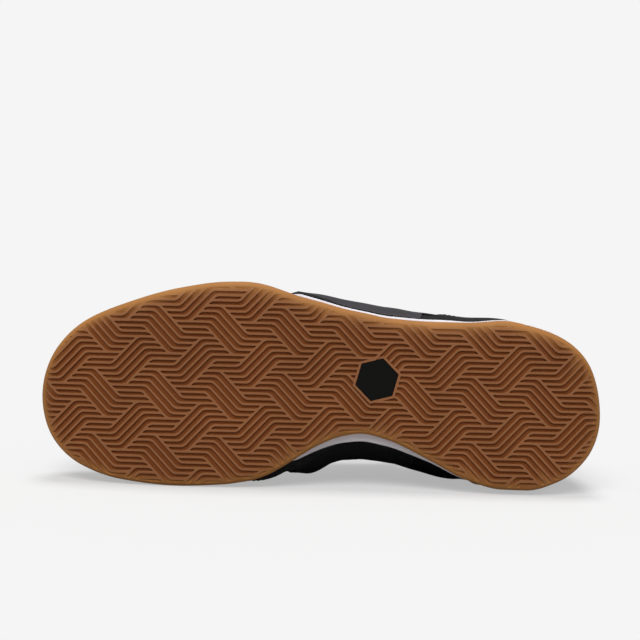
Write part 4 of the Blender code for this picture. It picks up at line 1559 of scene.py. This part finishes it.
def moved(around, up, shift):
    """The place on the last that lies a small shift away: two slopes, and the two equations they make."""
    step = 0.002
    over = step if up < 0.99 else -step
    here = last_point(around, up)
    a = (last_point(around + step, up) - here) / step
    b = (last_point(around, up + over) - here) / over
    aa, ab, bb = a.dot(a), a.dot(b), b.dot(b)
    ra, rb = shift.dot(a), shift.dot(b)
    det = aa * bb - ab * ab
    return around + (ra * bb - rb * ab) / det, up + (rb * aa - ra * ab) / det


def inset_route(places, inset, inside):
    """The route moved over the surface by a distance, to the side on which the place inside lies."""
    points = [last_point(*p) for p in places]
    middle = len(places) // 2

    def sideways(k):
        around, up = places[k]
        ahead = points[min(k + 1, len(points) - 1)] - points[max(k - 1, 0)]
        return ahead.cross(last_normal(around, min(up, NEAR_END))).normalized()

    sign = math.copysign(1, sideways(middle).dot(last_point(*inside) - points[middle]))
    return [moved(*p, sideways(k) * inset * sign) for k, p in enumerate(places)]


def sew(places, lift):
    """A row of stitches: each is a small bead, stretched along the seam and half sunk in the leather."""
    bm = bmesh.new()
    route = [skin(a, min(u, NEAR_END), lift) for a, u in places]
    to_next, k = STITCH_PITCH / 2, 0
    while k < len(route) - 1:
        leg = route[k + 1] - route[k]
        if leg.length < to_next:
            to_next -= leg.length
            k += 1
            continue
        centre = route[k] + leg.normalized() * to_next
        route[k] = centre
        to_next = STITCH_PITCH
        around, up = places[k]
        ahead = leg.normalized()
        across = leg.cross(last_normal(around, min(up, NEAR_END))).normalized()
        axes = Matrix((ahead, across, ahead.cross(across))).transposed().to_4x4()
        size = Matrix.Diagonal((STITCH_LENGTH / 2, THREAD_RADIUS, THREAD_RADIUS, 1))
        bmesh.ops.create_uvsphere(
            bm, u_segments=6, v_segments=5, radius=1, matrix=Matrix.Translation(centre) @ axes @ size
        )
    return bm


def line(start, end, steps, height):
    """Places along an edge between two places around the last, at the height of a function."""
    first, last = lap_angle(start), lap_angle(end)
    arounds = [lap_place(first + (last - first) * k / steps) for k in range(steps + 1)]
    return [(a, height(a)) for a in arounds]


def front_edge(side):
    """The front edge of a quarter, from the sole up to the eyestay."""
    ups = [0.06 + 0.70 * k / 60 for k in range(61)]
    return [(side * (QUARTER_FRONT - QUARTER_SLANT * (up - QUARTER_LEVEL)), up) for up in ups]


# %% All the seams
ON_SUEDE = GAP + OVERLAY
ON_QUARTER = GAP + QUARTER_LEATHER
rows = []


def seam(route, inside, lift, inset=SEAM_INSET):
    """Sews along a route, a little way in from it on the side of the place inside."""
    rows.append(sew(inset_route(route, inset, inside), lift))


# A seam stops a little before the ends of its piece, and round the toe well before the low tails end
toe_edge = [p for p in line(-0.440, 0.440, 280, toe_top) if p[1] < 1]
counter_edge = line(0.800, 1.280, 160, counter_top)
for inset in (SEAM_INSET, 2 * SEAM_INSET):
    seam(toe_edge, (0.0, 0.3), ON_SUEDE, inset)
    seam(counter_edge, (1.0, 0.2), ON_SUEDE, inset)
near_top = whole(NEAR_END)
for side in (LATERAL, MEDIAL):
    seam(line(side * 0.304, side * 0.606, 120, eyestay_edge), (side * 0.5, 0.99), ON_SUEDE)
    seam(line(side * 0.336, side * 0.606, 120, near_top), (side * 0.5, 0.5), ON_SUEDE)
    seam(front_edge(side), (side * 0.7, 0.4), ON_QUARTER)
    seam(line(side * 0.655, side * 0.995, 120, quarter_high), (side * 0.8, 0.4), ON_QUARTER)
    seam(line(side * 0.625, side * 0.999, 120, near_top), (side * 0.8, 0.4), 0.0)
stitching = make_piece("seam_stitches", joined(rows), thread, sharp=80)
stands_for(stitching, "black_cord")

# %% [markdown]
# ## Camera, light and floor
# The photograph looks square at the sole, with a lens of moderate length. The floor and the walls are
# nearly white. One large soft light hangs above, and a second one, softer still, stands by the camera,
# so that the upper rim of the sole is brightest and the shadow falls softly beneath the shoe.

# %% Camera
LOOK_AT = Vector((0.1415, -0.0409, 0.0))
CAMERA_AWAY = 0.762
PHOTO_ROLL = math.radians(1.6)
LENS = 85


def point_camera():
    """Looks straight at the tread, rolled a little as the photograph is."""
    camera = new_object("camera", bpy.data.cameras.new("camera"))
    bpy.context.scene.camera = camera
    camera.data.lens = LENS
    camera.data.sensor_width = 36
    camera.data.clip_start = 0.05
    target = LAY_DOWN @ LOOK_AT
    away = LAY_DOWN.to_3x3() @ Vector((0, 0, -1))
    camera.location = target + away * CAMERA_AWAY
    facing = (target - camera.location).to_track_quat("-Z", "Y").to_matrix()
    camera.rotation_euler = (facing @ Matrix.Rotation(PHOTO_ROLL, 3, "Z")).to_euler()
    return camera


camera = point_camera()
print("camera at", [round(v, 3) for v in camera.location])

# %% Floor and light
FLOOR_SIZE = 6.0
# The paper glows a little for the camera alone, as painted light, so no shadow on it is deep
PAINTED_FLOOR_GLOW = 0.42


def make_floor():
    """A wide sheet of white paper under the shoe."""
    bm = bmesh.new()
    bmesh.ops.create_grid(bm, x_segments=1, y_segments=1, size=FLOOR_SIZE / 2)
    mesh = mesh_from(bm, "floor")
    paper, tree, shader = new_material(
        "white paper sweep", Base_Color=srgb("aeaeae"), Roughness=1.0, Specular_IOR_Level=0.0,
        Emission_Color=srgb("ffffff"),
    )
    # Painted light: a glow seen only by the camera, which lifts the shadows on the floor
    path = add_node(tree, "ShaderNodeLightPath").outputs["Is Camera Ray"]
    glow = combine(tree, "MULTIPLY", {0: path}, inputs={1: PAINTED_FLOOR_GLOW})
    tree.links.new(glow, shader.inputs["Emission Strength"])
    mesh.materials.append(paper)
    new_object("floor", mesh)


def sunlight(name, source, strength, softness):
    """A sun that shines from a direction. The softness is how wide it looks, in degrees."""
    light = bpy.data.lights.new(name, "SUN")
    light.energy = strength
    light.angle = math.radians(softness)
    new_object(name, light).rotation_euler = Vector(source).to_track_quat("Z", "Y").to_euler()


def pale_room(seen, lit):
    """The wall as the camera sees it, and the dimmer room that lights the shoe."""
    world = bpy.data.worlds.new("pale room")
    bpy.context.scene.world = world
    world.use_nodes = True
    tree = world.node_tree
    room = tree.nodes["Background"]
    room.inputs["Color"].default_value = srgb("ffffff")
    room.inputs["Strength"].default_value = lit
    wall = add_node(tree, "ShaderNodeBackground", inputs={"Color": seen})
    path = add_node(tree, "ShaderNodeLightPath")
    mix = add_node(
        tree, "ShaderNodeMixShader",
        {0: path.outputs["Is Camera Ray"], 1: room.outputs["Background"], 2: wall.outputs["Background"]},
    )
    tree.links.new(mix.outputs["Shader"], tree.nodes["World Output"].inputs["Surface"])


make_floor()
sunlight("light from above", (0.02, 0.16, 1.0), 1.5, 22)
sunlight("light by the camera", (-0.15, -1.0, 1.05), 1.85, 30)
pale_room(srgb("f5f5f5"), 0.27)
bpy.context.scene.view_settings.view_transform = "Standard"
print("two lights and a pale room")
